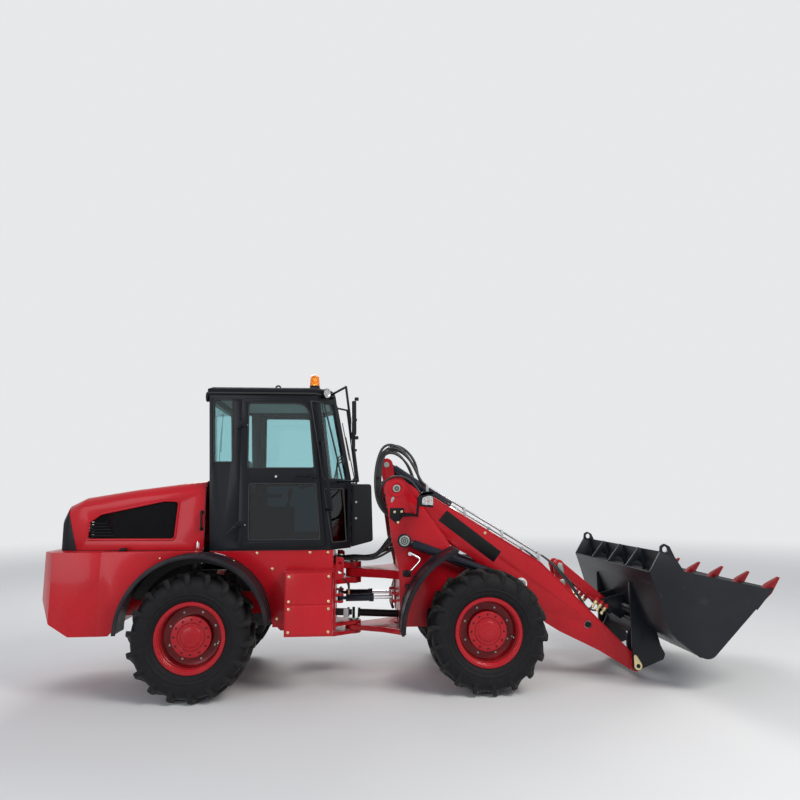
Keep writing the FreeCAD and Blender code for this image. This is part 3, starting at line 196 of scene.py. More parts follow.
def paint(name, slot, colour, rough, coat, dust, painted_shade=0.0):
    """Sprayed enamel: slow tone changes, a faint orange peel, and dust that thickens towards the ground.

    Its last argument is painted shade: it darkens the paint towards near black wherever the piece's own
    attribute marks shade.
    """
    finish = Finish(name, slot, Coat_Weight=coat, Coat_Roughness=0.07, Specular_IOR_Level=0.12 + coat / 2)
    tone = finish.noise(1.1, 2.0).between(0.3, 0.7)
    specks = finish.noise(34, 6.0).between(0.44, 0.74)
    streaks = finish.noise(7, 4.0, finish.stretched(1, 1, 0.18)).between(0.35, 0.75)
    low = 1 - finish.along("Z").between(0.25, 1.9)
    film = low * dust * (specks * 0.6 + streaks * 0.4)
    coloured = finish.mix(tone, shade(colour, 0.9), shade(colour, 1.08))
    # Painted shade: mixes towards near black where the piece's shade attribute is high.
    if painted_shade:
        coloured = finish.mix(finish.attribute("painted_recess_shade") * painted_shade, coloured, shade(colour, 0.12))
    finish.colour(finish.mix(film, coloured, DUST))
    finish.roughness(rough + specks * 0.05 + film * 0.5)
    finish.bump(finish.noise(260, 2.0), 0.0002, 0.35)
    return finish.material


def grained_plastic(name, slot, colour, rough):
    """Moulded plastic with a leathery grain and a dusty bloom."""
    finish = Finish(name, slot, Specular_IOR_Level=0.18)
    grain = finish.cells(420, "SMOOTH_F1")
    bloom = finish.noise(5, 5.0).between(0.4, 0.8)
    low = 1 - finish.along("Z").between(0.3, 1.6)
    finish.colour(finish.mix(bloom * (low * 0.1 + 0.01), shade(colour, 1), DUST))
    finish.roughness(rough + bloom * 0.12)
    finish.bump(grain, 0.0004, 0.5)
    return finish.material


def tyre_rubber():
    """Dark rubber. The lug faces carry pale dust, and the sidewalls fine moulded rings."""
    finish = Finish("tyre_rubber", "tyre_rubber", Specular_IOR_Level=0.14)
    tread = finish.attribute("tread")
    ring = finish.attribute("ring")
    mottle = finish.noise(22, 6.0).between(0.35, 0.75)
    scuff = finish.noise(90, 3.0).between(0.45, 0.7)
    dirt = tread * (mottle * 0.24 + 0.04) + mottle * 0.03
    finish.colour(finish.mix(dirt, (0.009, 0.009, 0.0105, 1), (0.13, 0.112, 0.092, 1)))
    finish.roughness(0.62 + dirt * 0.3 + scuff * 0.06)
    rings = (ring * 2200).sine() * (1 - tread)
    finish.bump(rings * 0.3 + finish.noise(300, 4.0) * 0.7, 0.0006, 0.5)
    return finish.material


def hose_rubber():
    """Smooth black hose cover with a cloth wrap's faint slant."""
    finish = Finish("hose_rubber", "black_plastic")
    wrap = (finish.along("X") * 900 + finish.along("Z") * 700).sine()
    finish.colour(finish.mix(finish.noise(30, 4.0), (0.012, 0.012, 0.014, 1), (0.03, 0.03, 0.032, 1)))
    finish.roughness(0.38 + finish.noise(60, 3.0) * 0.15)
    finish.bump(wrap, 0.0002, 0.3)
    return finish.material


def soft_seal():
    finish = Finish("soft_seal", "black_plastic")
    finish.colour(finish.mix(finish.noise(18, 4.0), (0.01, 0.01, 0.011, 1), (0.028, 0.028, 0.03, 1)))
    finish.roughness(0.7 + finish.noise(110, 2.0) * 0.1)
    finish.bump(finish.noise(700, 2.0), 0.0002, 0.3)
    return finish.material


def metal(name, slot, colour, rough, streak, brushed):
    """Bare or plated metal. streak is the depth of its brush marks, and brushed their direction's stretch."""
    finish = Finish(name, slot, Metallic=1.0)
    lines = finish.noise(420, 3.0, finish.stretched(*brushed))
    smear = finish.noise(14, 5.0).between(0.35, 0.75)
    finish.colour(finish.mix(smear, shade(colour, 0.86), shade(colour, 1.06)))
    finish.roughness(rough + smear * 0.1 + lines * streak)
    finish.bump(lines, 0.0001, 0.25)
    return finish.material


def window_glass(name, slot, tint, dark):
    """Tinted glass, with a dark film on the panes below the doors' middle bar."""
    finish = Finish(name, slot, Transmission_Weight=1.0, IOR=1.45, Specular_IOR_Level=0.5)
    smears = finish.noise(6, 5.0, finish.stretched(1, 1, 0.3)).between(0.5, 0.85)
    above = finish.along("Z").between(2.03, 2.06)
    finish.colour(finish.mix(above, dark, finish.mix(smears * 0.12, tint, shade(tint, 0.86))))
    finish.roughness(0.005 + smears * 0.035)
    return finish.material


def lens(name, slot, colour, glow):
    """Moulded lens with fine prism lines."""
    finish = Finish(name, slot, Transmission_Weight=0.75, IOR=1.49, Emission_Strength=glow,
                    Emission_Color=colour)
    ribs = (finish.along("Z") * 700).sine() * (finish.along("Y") * 520).sine()
    finish.colour(finish.mix(finish.noise(40, 3.0), colour, shade(colour, 0.86)))
    finish.roughness(0.06 + finish.noise(50, 3.0) * 0.07)
    finish.bump(ribs, 0.0007, 0.5)
    return finish.material


def seat_leather():
    finish = Finish("seat_leather", "seat_cover")
    creases = finish.cells(230, "DISTANCE_TO_EDGE").between(0.0, 0.12)
    wear = finish.noise(9, 4.0).between(0.4, 0.8)
    finish.colour(finish.mix(wear, (0.022, 0.022, 0.024, 1), (0.055, 0.053, 0.052, 1)))
    finish.roughness(0.45 + wear * 0.15)
    finish.bump(creases, 0.0004, 0.6)
    return finish.material


def lining():
    """Pale perforated headliner."""
    finish = Finish("lining", "seat_cover")
    holes = finish.cells(160).between(0.1, 0.3)
    finish.colour(finish.mix(holes, (0.3, 0.3, 0.3, 1), (0.62, 0.62, 0.6, 1)))
    finish.roughness(0.85 + holes * 0.05)
    finish.bump(holes, 0.0005, 0.5)
    return finish.material


def scuffed_paint(name, slot, colour):
    """Black bucket enamel: bright scrapes along the slope that the load slides down."""
    finish = Finish(name, slot, Coat_Weight=0.03, Coat_Roughness=0.2, Specular_IOR_Level=0.2)
    tone = finish.noise(2.2, 3.0).between(0.3, 0.7)
    scrape = finish.noise(26, 5.0, finish.stretched(0.25, 3.0, 0.25)).between(0.62, 0.74)
    specks = finish.noise(60, 5.0).between(0.5, 0.75)
    base = finish.mix(tone, shade(colour, 0.85), shade(colour, 1.25))
    dusty = finish.mix(specks * 0.02 + 0.005, base, DUST)
    finish.colour(finish.mix(scrape * 0.08, dusty, (0.1, 0.1, 0.1, 1)))
    finish.roughness(0.4 + specks * 0.12 + scrape * 0.1)
    finish.bump(finish.noise(180, 3.0), 0.0004, 0.4)
    return finish.material


RED = (0.45, 0.006, 0.014)
BLACK = (0.007, 0.008, 0.011)
LOOKS = {
    "red": paint("red_enamel", "red_body", RED, 0.28, 0.14, 0.08),
    "arm": paint("arm_enamel", "red_linkage", shade(RED, 0.96), 0.3, 0.13, 0.08),
    # The wheel's finish carries painted shade in the rim's dish and hub groove.
    "wheel": paint("wheel_enamel", "red_wheel", (0.46, 0.007, 0.016), 0.3, 0.13, 0.1, painted_shade=0.72),
    "teeth": paint("teeth_enamel", "dark_teeth", (0.2, 0.005, 0.009), 0.42, 0.05, 0.1),
    "black": paint("black_enamel", "black_chassis", BLACK, 0.34, 0.04, 0.05),
    "roof": paint("roof_enamel", "black_chassis", BLACK, 0.7, 0.0, 0.02),
    "navy": paint("cylinder_enamel", "black_cylinder", (0.006, 0.009, 0.019), 0.28, 0.12, 0.06),
    "bucket": scuffed_paint("bucket_enamel", "black_bucket", (0.01, 0.012, 0.016)),
    "engine": paint("engine_enamel", "engine_grey", (0.05, 0.052, 0.056), 0.5, 0.0, 0.3),
    "plastic": grained_plastic("black_plastic", "black_plastic", (0.008, 0.0085, 0.01), 0.48),
    "fender": grained_plastic("fender_plastic", "black_plastic", (0.012, 0.009, 0.013), 0.36),
    "film": grained_plastic("stripe_film", "black_plastic", (0.006, 0.006, 0.007), 0.3),
    "grey": grained_plastic("grey_cover", "black_plastic", (0.42, 0.43, 0.45), 0.4),
    "pale": grained_plastic("pale_reflector", "lamp_lens", (0.72, 0.73, 0.74), 0.2),
    "tyre": tyre_rubber(),
    "hose": hose_rubber(),
    "seal": soft_seal(),
    "chrome": metal("hard_chrome", "steel_rod", (0.82, 0.83, 0.85), 0.05, 0.06, (1, 1, 1)),
    "steel": metal("turned_steel", "pin_steel", (0.36, 0.4, 0.37), 0.3, 0.16, (1, 0.2, 1)),
    "zinc": metal("yellow_zinc", "pin_steel", (0.72, 0.6, 0.34), 0.24, 0.1, (1, 1, 1)),
    "pipe": metal("zinc_pipe", "pin_steel", (0.42, 0.44, 0.46), 0.3, 0.1, (1, 1, 1)),
    "mirror": metal("mirror_glass", "steel_rod", (0.9, 0.92, 0.93), 0.01, 0.0, (1, 1, 1)),
    "glass": window_glass("cab_window", "cab_window", (0.56, 0.80, 0.82, 1), (0.07, 0.12, 0.14, 1)),
    "clear": lens("clear_lens", "lamp_lens", (0.92, 0.93, 0.93, 1), 0.0),
    "tail": lens("tail_lens", "lamp_lens", (0.62, 0.02, 0.02, 1), 0.15),
    "amber": lens("amber_lens", "amber_lens", (0.95, 0.3, 0.02, 1), 0.12),
    "leather": seat_leather(),
    "lining": lining(),
}


# Modelling

def current():
    return bpy.context.view_layer.objects.active


def only(piece):
    bpy.ops.object.select_all(action="DESELECT")
    piece.select_set(True)
    bpy.context.view_layer.objects.active = piece


def edit(piece):
    only(piece)
    bpy.ops.object.mode_set(mode="EDIT")


def done():
    bpy.ops.object.mode_set(mode="OBJECT")


def modify(piece, kind, **settings):
    only(piece)
    modifier = piece.modifiers.new(kind.title(), kind)
    for key, value in settings.items():
        setattr(modifier, key, value)
    bpy.ops.object.modifier_apply(modifier=modifier.name)
    return piece


def bevel(piece, width, segments=2, angle=32):
    return modify(piece, "BEVEL", width=width / 1000, segments=segments, limit_method="ANGLE",
                  angle_limit=math.radians(angle), harden_normals=False)


def cut_by(piece, tool):
    modify(piece, "BOOLEAN", operation="DIFFERENCE", object=tool, solver="EXACT")
    bpy.data.objects.remove(tool)
    return piece


def dress(made, name, look, body, smooth=32):
    """Names a finished piece, or joins a list into one, gives it its finish and lets it ride on its body."""
    piece = join(made) if isinstance(made, list) else made
    only(piece)
    bpy.ops.object.transform_apply(location=True, rotation=True, scale=True)
    bpy.ops.object.shade_smooth_by_angle(angle=math.radians(smooth))
    piece.name = name
    piece.data.name = name
    piece.data.materials.clear()
    piece.data.materials.append(LOOKS[look])
    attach(piece, body)
    return piece


def join(pieces):
    bpy.ops.object.select_all(action="DESELECT")
    for piece in pieces:
        piece.select_set(True)
    bpy.context.view_layer.objects.active = pieces[0]
    if len(pieces) > 1:
        bpy.ops.object.join()
    return pieces[0]


def facing(way):
    """Turns a piece that stands on Z to look along way."""
    return Vector(way).to_track_quat("Z", "Y").to_matrix().to_4x4()


def copy_of(piece, matrix):
    twin = piece.copy()
    twin.data = piece.data.copy()
    twin.data.transform(matrix)
    bpy.context.scene.collection.objects.link(twin)
    return twin


def start_at(point):
    """One vertex in edit mode."""
    bpy.ops.object.select_all(action="DESELECT")
    bpy.ops.mesh.primitive_plane_add(size=0.01, location=(0, 0, 0))
    piece = current()
    bpy.ops.object.mode_set(mode="EDIT")
    bpy.ops.mesh.select_mode(type="VERT")
    bpy.ops.mesh.select_all(action="SELECT")
    bpy.ops.mesh.merge(type="CENTER")
    bpy.ops.transform.translate(value=point)
    return piece


def draw_chain(points):
    """Extrudes one vertex from point to point."""
    piece = start_at(points[0])
    for before, after in zip(points, points[1:]):
        bpy.ops.mesh.extrude_region_move(TRANSFORM_OT_translate={"value": after - before})
    return piece


def close_face(piece):
    """Closes a drawn chain and fills it with one face."""
    mesh = bmesh.from_edit_mesh(piece.data)
    bpy.ops.mesh.select_all(action="DESELECT")
    for vertex in mesh.verts:
        if len(vertex.link_edges) == 1:
            vertex.select_set(True)
    bmesh.update_edit_mesh(piece.data)
    bpy.ops.mesh.edge_face_add()
    bpy.ops.mesh.select_all(action="SELECT")
    bpy.ops.mesh.edge_face_add()


def clean_shell():
    bpy.ops.mesh.select_all(action="SELECT")
    bpy.ops.mesh.remove_doubles(threshold=0.00001)
    bpy.ops.mesh.normals_make_consistent(inside=False)
    done()


def lofted(rings, edge=0, segments=2):
    """Solid through rings of points in metres, each with as many points as the first."""
    piece = draw_chain(rings[0])
    close_face(piece)
    bpy.ops.mesh.select_mode(type="FACE")
    bpy.ops.mesh.select_all(action="SELECT")
    for before, after in zip(rings, rings[1:]):
        bpy.ops.mesh.extrude_region_move(TRANSFORM_OT_translate={"value": after[0] - before[0]})
        mesh = bmesh.from_edit_mesh(piece.data)
        face = [face for face in mesh.faces if face.select][0]
        base = [point + after[0] - before[0] for point in before]
        for vertex in face.verts:
            nearest = min(range(len(base)), key=lambda index: (base[index] - vertex.co).length)
            vertex.co = after[nearest]
        bmesh.update_edit_mesh(piece.data)
    clean_shell()
    if edge:
        bevel(piece, edge, segments)
    return piece


def turned(profile, centre, way, steps=40, edge=0):
    """Piece turned about an axis through centre. profile is (radius, distance along way) in millimetres."""
    piece = draw_chain([Vector((radius / 1000, 0, along / 1000)) for radius, along in profile])
    bpy.ops.mesh.select_all(action="SELECT")
    bpy.ops.mesh.spin(steps=steps, angle=math.tau, center=(0, 0, 0), axis=(0, 0, 1))
    clean_shell()
    only(piece)
    piece.matrix_world = Matrix.Translation(centre) @ facing(way)
    bpy.ops.object.transform_apply(location=True, rotation=True, scale=True)
    if edge:
        bevel(piece, edge)
    return piece


def rounded(corners, steps=4):
    """Outline points, with a bend where a corner is given as (a, b, radius)."""
    points = []
    for index, corner in enumerate(corners):
        here = Vector(corner[:2])
        if len(corner) == 2:
            points.append(here)
            continue
        back = (Vector(corners[index - 1][:2]) - here).normalized()
        ahead = (Vector(corners[(index + 1) % len(corners)][:2]) - here).normalized()
        reach = corner[2] / math.tan(back.angle(ahead) / 2)
        for step in range(steps + 1):
            share = step / steps
            first = here + back * reach * (1 - share)
            last = here + ahead * reach * share
            points.append(first.lerp(last, share))
    return points


def panel(a_low, b_low, a_high, b_high, radius):
    """Outline of a rectangle with round corners."""
    return [(a, b, radius) for a, b in ((a_low, b_low), (a_high, b_low), (a_high, b_high), (a_low, b_high))]


def plate(corners, low, high, plane="side", edge=2, segments=2):
    """Plate drawn in side view as (x, z), from above as (x, y), or from the front as (y, z)."""
    views = {"side": lambda a, b, c: spot(a, c, b), "plan": lambda a, b, c: spot(a, b, c),
             "front": lambda a, b, c: spot(c, a, b)}
    points = rounded(corners)
    rings = [[views[plane](a, b, level) for a, b in points] for level in (low, high)]
    return lofted(rings, edge, segments)


def between_faces(corners, y_first, y_last, edge=2, segments=2):
    """Plate in side view between two planes, given in either order."""
    return plate(corners, min(y_first, y_last), max(y_first, y_last), edge=edge, segments=segments)


def slab(low, high, edge=3, segments=2):
    """Block between two corners in millimetres, with softened edges."""
    a, b = spot(*low), spot(*high)
    bpy.ops.object.select_all(action="DESELECT")
    bpy.ops.mesh.primitive_cube_add(size=1, location=(a + b) / 2)
    piece = current()
    piece.scale = [abs(second - first) for first, second in zip(a, b)]
    bpy.ops.object.transform_apply(location=True, rotation=True, scale=True)
    return bevel(piece, edge, segments)


def bent(points, radius, steps=5):
    """Points of a bar's middle line in metres, with round bends of one radius in millimetres."""
    places = [spot(*point) for point in points]
    line = [places[0]]
    for before, here, after in zip(places, places[1:], places[2:]):
        back = (before - here).normalized()
        ahead = (after - here).normalized()
        reach = min(radius / 1000 / math.tan(back.angle(ahead) / 2), (before - here).length * 0.48,
                    (after - here).length * 0.48)
        for step in range(steps + 1):
            share = step / steps
            line.append((here + back * reach * (1 - share)).lerp(here + ahead * reach * share, share))
    return line + [places[-1]]


def swept(line, radius, smooth=False, closed=False, sides=12):
    """Round bar along a line of points in metres."""
    curve = bpy.data.curves.new("sweep", "CURVE")
    curve.dimensions = "3D"
    spline = curve.splines.new("NURBS" if smooth else "POLY")
    spline.points.add(len(line) - 1)
    for target, point in zip(spline.points, line):
        target.co = (*point, 1)
    if smooth:
        spline.order_u = 4
        spline.use_endpoint_u = not closed
        spline.resolution_u = 6
    spline.use_cyclic_u = closed
    curve.bevel_depth = radius / 1000
    curve.bevel_resolution = (sides - 4) // 2
    curve.use_fill_caps = not closed
    piece = bpy.data.objects.new("sweep", curve)
    bpy.context.scene.collection.objects.link(piece)
    only(piece)
    bpy.ops.object.convert(target="MESH")
    piece = current()
    edit(piece)
    clean_shell()
    return piece


def bar(points, radius, bend=30, sides=12):
    return swept(bent(points, bend), radius, sides=sides)


def edging(corners, place, radius, steps=5, sides=8):
    """Round strip along a closed outline. place(a, b) gives a point of its surface in metres."""
    return swept([place(a, b) for a, b in rounded(corners, steps)], radius, closed=True, sides=sides)


def hose(points, radius, sides=12):
    return swept([spot(*point) for point in points], radius, smooth=True, sides=sides)


def hexagon(radius, height, middle, edge):
    """Hexagon prism on the Z axis, with its middle at a height in millimetres."""
    bpy.ops.object.select_all(action="DESELECT")
    bpy.ops.mesh.primitive_cylinder_add(vertices=6, radius=radius / 1000, depth=height / 1000,
                                        location=(0, 0, middle / 1000))
    piece = current()
    bpy.ops.object.transform_apply(location=True, rotation=True, scale=True)
    return bevel(piece, edge, 1, 50)


def bolt_head():
    """Hexagon head on a round washer, 20 mm across its corners, standing on the origin."""
    head = hexagon(10, 7.5, 6.2, 0.9)
    washer = turned([(0, 0), (12.5, 0), (13, 0.6), (13, 2), (12, 2.5), (0, 2.5)], (0, 0, 0), (0, 0, 1), 18)
    return join([head, washer])


def dome_head():
    """Round capped screw with a socket, 20 mm across, standing on the origin."""
    profile = [(0, 0), (10, 0), (10, 2), (9, 5), (6.5, 7), (4, 7.5), (4, 4.5), (0, 4.5)]
    return turned(profile, (0, 0, 0), (0, 0, 1), 18)


HEADS = {"hex": bolt_head(), "dome": dome_head()}


def bolts(name, look, body, rows, kind="hex"):
    """Bolt heads as one piece. A row is (x, y, z, way, radius)."""
    made = []
    for x, y, z, way, radius in rows:
        spin = Matrix.Rotation(random.uniform(0, math.tau), 4, "Z")
        size = Matrix.Scale(radius / 10, 4)
        made.append(copy_of(HEADS[kind], Matrix.Translation(spot(x, y, z)) @ facing(way) @ spin @ size))
    return dress(made, name, look, body)


def out(side):
    return (0, side, 0)


# The construction's own pieces, with their edges softened

EDGED = (
    # node, look, width of the softened edge
    ("rear_frame", "red", 2.5), ("rear_axle", "black", 3), ("counterweight", "red", 6),
    ("tow_hitch", "black", 3), ("side_panels", "red", 2), ("rear_fenders", "fender", 3),
    ("toolbox", "red", 3), ("steps", "black", 2), ("engine", "engine", 5), ("cab_frame", "black", 4),
    ("cab_roof", "roof", 4), ("cab_base", "red", 2),
    ("front_box", "plastic", 8), ("steering_column", "plastic", 3), ("mirrors", "plastic", 5),
    ("grab_rails", "black", 0), ("hood", "red", 3), ("door_left", "black", 3), ("door_right", "black", 3),
    ("front_frame", "red", 3), ("front_axle", "black", 3), ("front_fenders", "fender", 3),
    ("boom", "arm", 3), ("boom_pipes", "pipe", 1), ("rocker", "arm", 3), ("link", "arm", 3),
    ("tilt_barrel", "navy", 2), ("lift_barrels", "navy", 2), ("steer_barrel_left", "navy", 1.5),
    ("steer_barrel_right", "navy", 1.5), ("hitch", "bucket", 3), ("bucket", "bucket", 2.5),
    ("bucket_ears", "bucket", 3), ("bucket_teeth", "teeth", 4),
)
KEPT = (
    # node, look of a node that stays as it is
    ("pivot_pins", "steel"), ("frame_pins", "steel"), ("tilt_pin", "steel"), ("rocker_shaft", "steel"),
    ("link_pin", "steel"), ("hitch_pins", "steel"), ("tilt_rod", "chrome"), ("lift_rods", "chrome"),
    ("steer_rod_left", "chrome"), ("steer_rod_right", "chrome"), ("cab_glass", "glass"),
    ("door_glass_left", "glass"), ("door_glass_right", "glass"),
)
body_of = {node: body for body, nodes in frame["record"]["behaviour"]["bodies"].items() for node in nodes}


def merged_copy(node):
    """A copy of a node with its doubled points merged, selected in edit mode."""
    piece = bpy.data.objects.new(node, frame["nodes"][node].data.copy())
    bpy.context.scene.collection.objects.link(piece)
    edit(piece)
    bpy.ops.mesh.select_mode(type="VERT")
    bpy.ops.mesh.select_all(action="SELECT")
    bpy.ops.mesh.remove_doubles(threshold=0.00002)
    return piece


def edged(node, look, width):
    """A copy of a node with softened edges, which stands for the node."""
    piece = merged_copy(node)
    bpy.ops.mesh.dissolve_limited(angle_limit=math.radians(0.6))
    done()
    if width:
        bevel(piece, width, 2, 38)
    dress(piece, node + "_shell", look, body_of[node], 38)
    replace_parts(piece, node)


def construction():
    for node, look, width in EDGED:
        edged(node, look, width)
    for node, look in KEPT:
        piece = frame["nodes"][node]
        piece.data.materials.clear()
        piece.data.materials.append(LOOKS[look])
        only(piece)
        bpy.ops.object.shade_smooth_by_angle(angle=math.radians(30))


# Wheels

TYRE_SIDE = (
    # radius, distance from the middle plane, from the bead to the tread
    (306, 150), (332, 157), (350, 176), (360, 180), (364, 186), (370, 188), (375, 186), (384, 190),
    (398, 196), (402, 200), (408, 200), (412, 197), (436, 202), (462, 202), (484, 198), (508, 188),
    (530, 170), (544, 146), (549, 110), (550, 50),
)
LUG_STATIONS = (
    # across, along the tread, top radius, root radius, half width on top, half width at the root
    (-14, -64, 585, 538, 16, 26), (40, -14, 587, 538, 18, 28), (92, 36, 587, 537, 19, 29),
    (146, 60, 586, 526, 21, 31), (182, 76, 577, 498, 22, 31), (202, 86, 557, 466, 20, 28),
)
LUGS = 18
LUG_ARC = 580
LUG_LEAD = 17 / AXLE_Z


def tyre_piece():
    """Carcass with its moulded rings, and two rows of bars that meet the tread's middle in turn."""
    profile = [(radius, -y) for radius, y in TYRE_SIDE] + [(radius, y) for radius, y in TYRE_SIDE[::-1]]
    pieces = [turned(profile + profile[:1], (0, 0, 0), (0, 1, 0), 108)]
    rings = []
    for across, along, top, root, face, base in LUG_STATIONS:
        ring = []
        for off, radius in ((-base, root), (-face, top), (face, top), (base, root)):
            angle = (along + off) / LUG_ARC
            ring.append(Vector((radius * math.sin(angle), across, radius * math.cos(angle))) / 1000)
        rings.append(ring)
    lug = lofted(rings, 4)
    for index in range(LUGS):
        for side in (-1, 1):
            turn = Matrix.Rotation((index + (0.5 if side > 0 else 0)) * math.tau / LUGS, 4, "Y")
            pieces.append(copy_of(lug, turn @ Matrix.Diagonal((1, side, 1, 1))))
    bpy.data.objects.remove(lug)
    tyre = join(pieces)
    edit(tyre)
    bpy.ops.mesh.select_all(action="SELECT")
    bpy.ops.mesh.normals_make_consistent(inside=False)
    done()
    tread = tyre.data.attributes.new("tread", "FLOAT", "POINT")
    ring = tyre.data.attributes.new("ring", "FLOAT", "POINT")
    for index, vertex in enumerate(tyre.data.vertices):
        radius = math.hypot(vertex.co.x, vertex.co.z)
        tread.data[index].value = min(max((radius - 0.545) / 0.04, 0), 1)
        ring.data[index].value = radius
    return tyre


RIM_FACE = (
    # radius, distance from the middle plane, from the outer flange to the hub's middle
    (330, 158), (330, 166), (326, 170), (300, 170), (296, 167), (294, 150), (288, 145), (286, 112),
    (281, 107), (279, 64), (273, 46), (262, 30), (206, 26), (196, 28), (192, 34), (191, 96), (187, 104),
    (178, 108), (132, 109), (129, 106), (125, 106), (122, 109), (98, 110), (95, 114), (88, 117), (30, 119),
    (0, 119),
)
RIM_BACK = (
    (0, -58), (60, -60), (165, -60), (165, 20), (212, 20), (276, 38), (290, 40), (292, -140), (297, -168),
    (322, -170), (330, -166), (330, -158), (305, -154), (301, -60), (303, 60), (305, 154),
)


# Radii in metres of the rim's dish and of the hub's groove, where shade is painted into the wheel's colour.
RIM_DISH = (0.188, 0.297)
HUB_GROOVE = (0.123, 0.131)
NUT_CIRCLE = 228
SCREW_CIRCLE = 160


def on_circle(count, turn, radius, y, size):
    """Places and sizes of heads on a circle about the axle. turn is the first one's share of a pitch."""
    angles = [(index + turn) * math.tau / count for index in range(count)]
    return [(radius * math.cos(angle), y, radius * math.sin(angle), size) for angle in angles]


def rim_pieces(side):
    """Steel rim and hub, its nuts, screws and valve. side is +1 where the outer face looks left."""
    face = turned([*RIM_FACE, *RIM_BACK, RIM_FACE[0]], (0, 0, 0), (0, side, 0), 96)
    # Painted shade: full in the hub's groove, growing with depth into the dish, and a little darker over the
    # rest of the rim.
    painted_recess_shade = face.data.attributes.new("painted_recess_shade", "FLOAT", "POINT")
    for index, vertex in enumerate(face.data.vertices):
        radius = math.hypot(vertex.co.x, vertex.co.z)
        level = vertex.co.y * side
        if RIM_DISH[0] < radius < RIM_DISH[1]:
            painted_recess_shade.data[index].value = min(max((0.15 - level) / 0.06, 0), 1)
        elif HUB_GROOVE[0] < radius < HUB_GROOVE[1]:
            painted_recess_shade.data[index].value = 1
        else:
            painted_recess_shade.data[index].value = 0.35
    nuts = on_circle(8, 0.5, NUT_CIRCLE, side * 28, 7.5)
    screws = on_circle(12, 0, SCREW_CIRCLE, side * 108, 7)
    valve = turned([(0, 0), (9, 0), (9, 12), (5, 14), (5, 50), (7, 50), (7, 62), (0, 62)],
                   Vector((0.252, side * 0.046, -0.06)), out(side), 16)
    return face, nuts, screws, valve


def wheels():
    tyre = tyre_piece()
    for end, axle_x in (("front", FRONT_AXLE_X), ("rear", REAR_AXLE_X)):
        for side, label in SIDES:
            name = end + "_" + label
            body = body_of["rim_" + name]
            place = Matrix.Translation(spot(axle_x, side * HALF_TRACK, AXLE_Z))
            turn = Matrix.Rotation((0 if side > 0 else math.pi / LUGS) - LUG_LEAD, 4, "Y")
            piece = dress(copy_of(tyre, place @ turn), "tyre_" + name + "_rubber", "tyre", body, 40)
            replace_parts(piece, "tyre_" + name)
            face, nuts, screws, valve = rim_pieces(side)
            face.data.transform(place)
            dress(face, "rim_" + name + "_steel", "wheel", body)
            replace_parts(face, "rim_" + name)
            for kind, look, rows in (("nuts", "steel", nuts), ("screws", "black", screws)):
                bolts("wheel_" + kind + "_" + name, look, body,
                      [(x + axle_x, y + side * HALF_TRACK, z + AXLE_Z, out(side), radius)
                       for x, y, z, radius in rows])
            valve.data.transform(place)
            dress(valve, "valve_" + name, "steel", body)
    bpy.data.objects.remove(tyre)


# Rear half

HOOD_SECTIONS = ((-2812, 475), (-2765, 500), (-2604, 528), (-2107, 560), (-1395, 600))
HOOD_WINDOW = ((-2558, 1470, 20), (-1684, 1468, 40), (-1653, 1850, 40), (-1801, 1855, 40), (-2430, 1724, 60),
               (-2541, 1646, 40))


def hood_half(x):
    """Half width of the hood at x."""
    for (x_a, half_a), (x_b, half_b) in zip(HOOD_SECTIONS, HOOD_SECTIONS[1:]):
        if x_a <= x <= x_b:
            return half_a + (half_b - half_a) * (x - x_a) / (x_b - x_a)
    return HOOD_SECTIONS[-1][1]


def inside(point, corners):
    """Whether a point lies within a convex outline that turns left."""
    for first, last in zip(corners, corners[1:] + corners[:1]):
        if (last - first).cross(point - first) < 0:
            return False
    return True


def wire_mesh(name, corners, place, pitch, wire, body):
    """Woven screen that fills an outline. place(a, b) gives a point of its surface in metres."""
    corners = [Vector(corner[:2]) for corner in corners]
    low = [min(corner[i] for corner in corners) for i in (0, 1)]
    high = [max(corner[i] for corner in corners) for i in (0, 1)]
    counts = [int((b - a) / pitch) for a, b in zip(low, high)]
    bpy.ops.object.select_all(action="DESELECT")
    bpy.ops.mesh.primitive_grid_add(x_subdivisions=counts[0], y_subdivisions=counts[1], size=1)
    piece = current()
    edit(piece)
    bpy.ops.mesh.select_mode(type="FACE")
    bpy.ops.mesh.select_all(action="DESELECT")
    mesh = bmesh.from_edit_mesh(piece.data)
    for vertex in mesh.verts:
        vertex.co = (low[0] + (vertex.co.x + 0.5) * (high[0] - low[0]),
                     low[1] + (vertex.co.y + 0.5) * (high[1] - low[1]), 0)
    for face in mesh.faces:
        face.select_set(not inside(face.calc_center_median().to_2d(), corners))
    bmesh.update_edit_mesh(piece.data)
    bpy.ops.mesh.delete(type="FACE")
    mesh = bmesh.from_edit_mesh(piece.data)
    for vertex in mesh.verts:
        vertex.co = place(vertex.co.x, vertex.co.y)
    bmesh.update_edit_mesh(piece.data)
    done()
    modify(piece, "WIREFRAME", thickness=wire / 1000, use_even_offset=False)
    return dress(piece, name, "plastic", body)


def hood_cap():
    """Black moulded cap over the hood's rear end: that end's own surface, grown a little and rounded."""
    cap = merged_copy("hood")
    bpy.ops.mesh.bisect(plane_co=spot(-2722, 0, 1600), plane_no=Vector((1, 0, 0.28)), use_fill=True,
                        clear_outer=True)
    bpy.ops.mesh.select_all(action="SELECT")
    bpy.ops.mesh.normals_make_consistent(inside=False)
    bpy.ops.transform.shrink_fatten(value=0.0035)
    done()
    dress(cap, "hood_rear_cap", "black", "hood", 38)


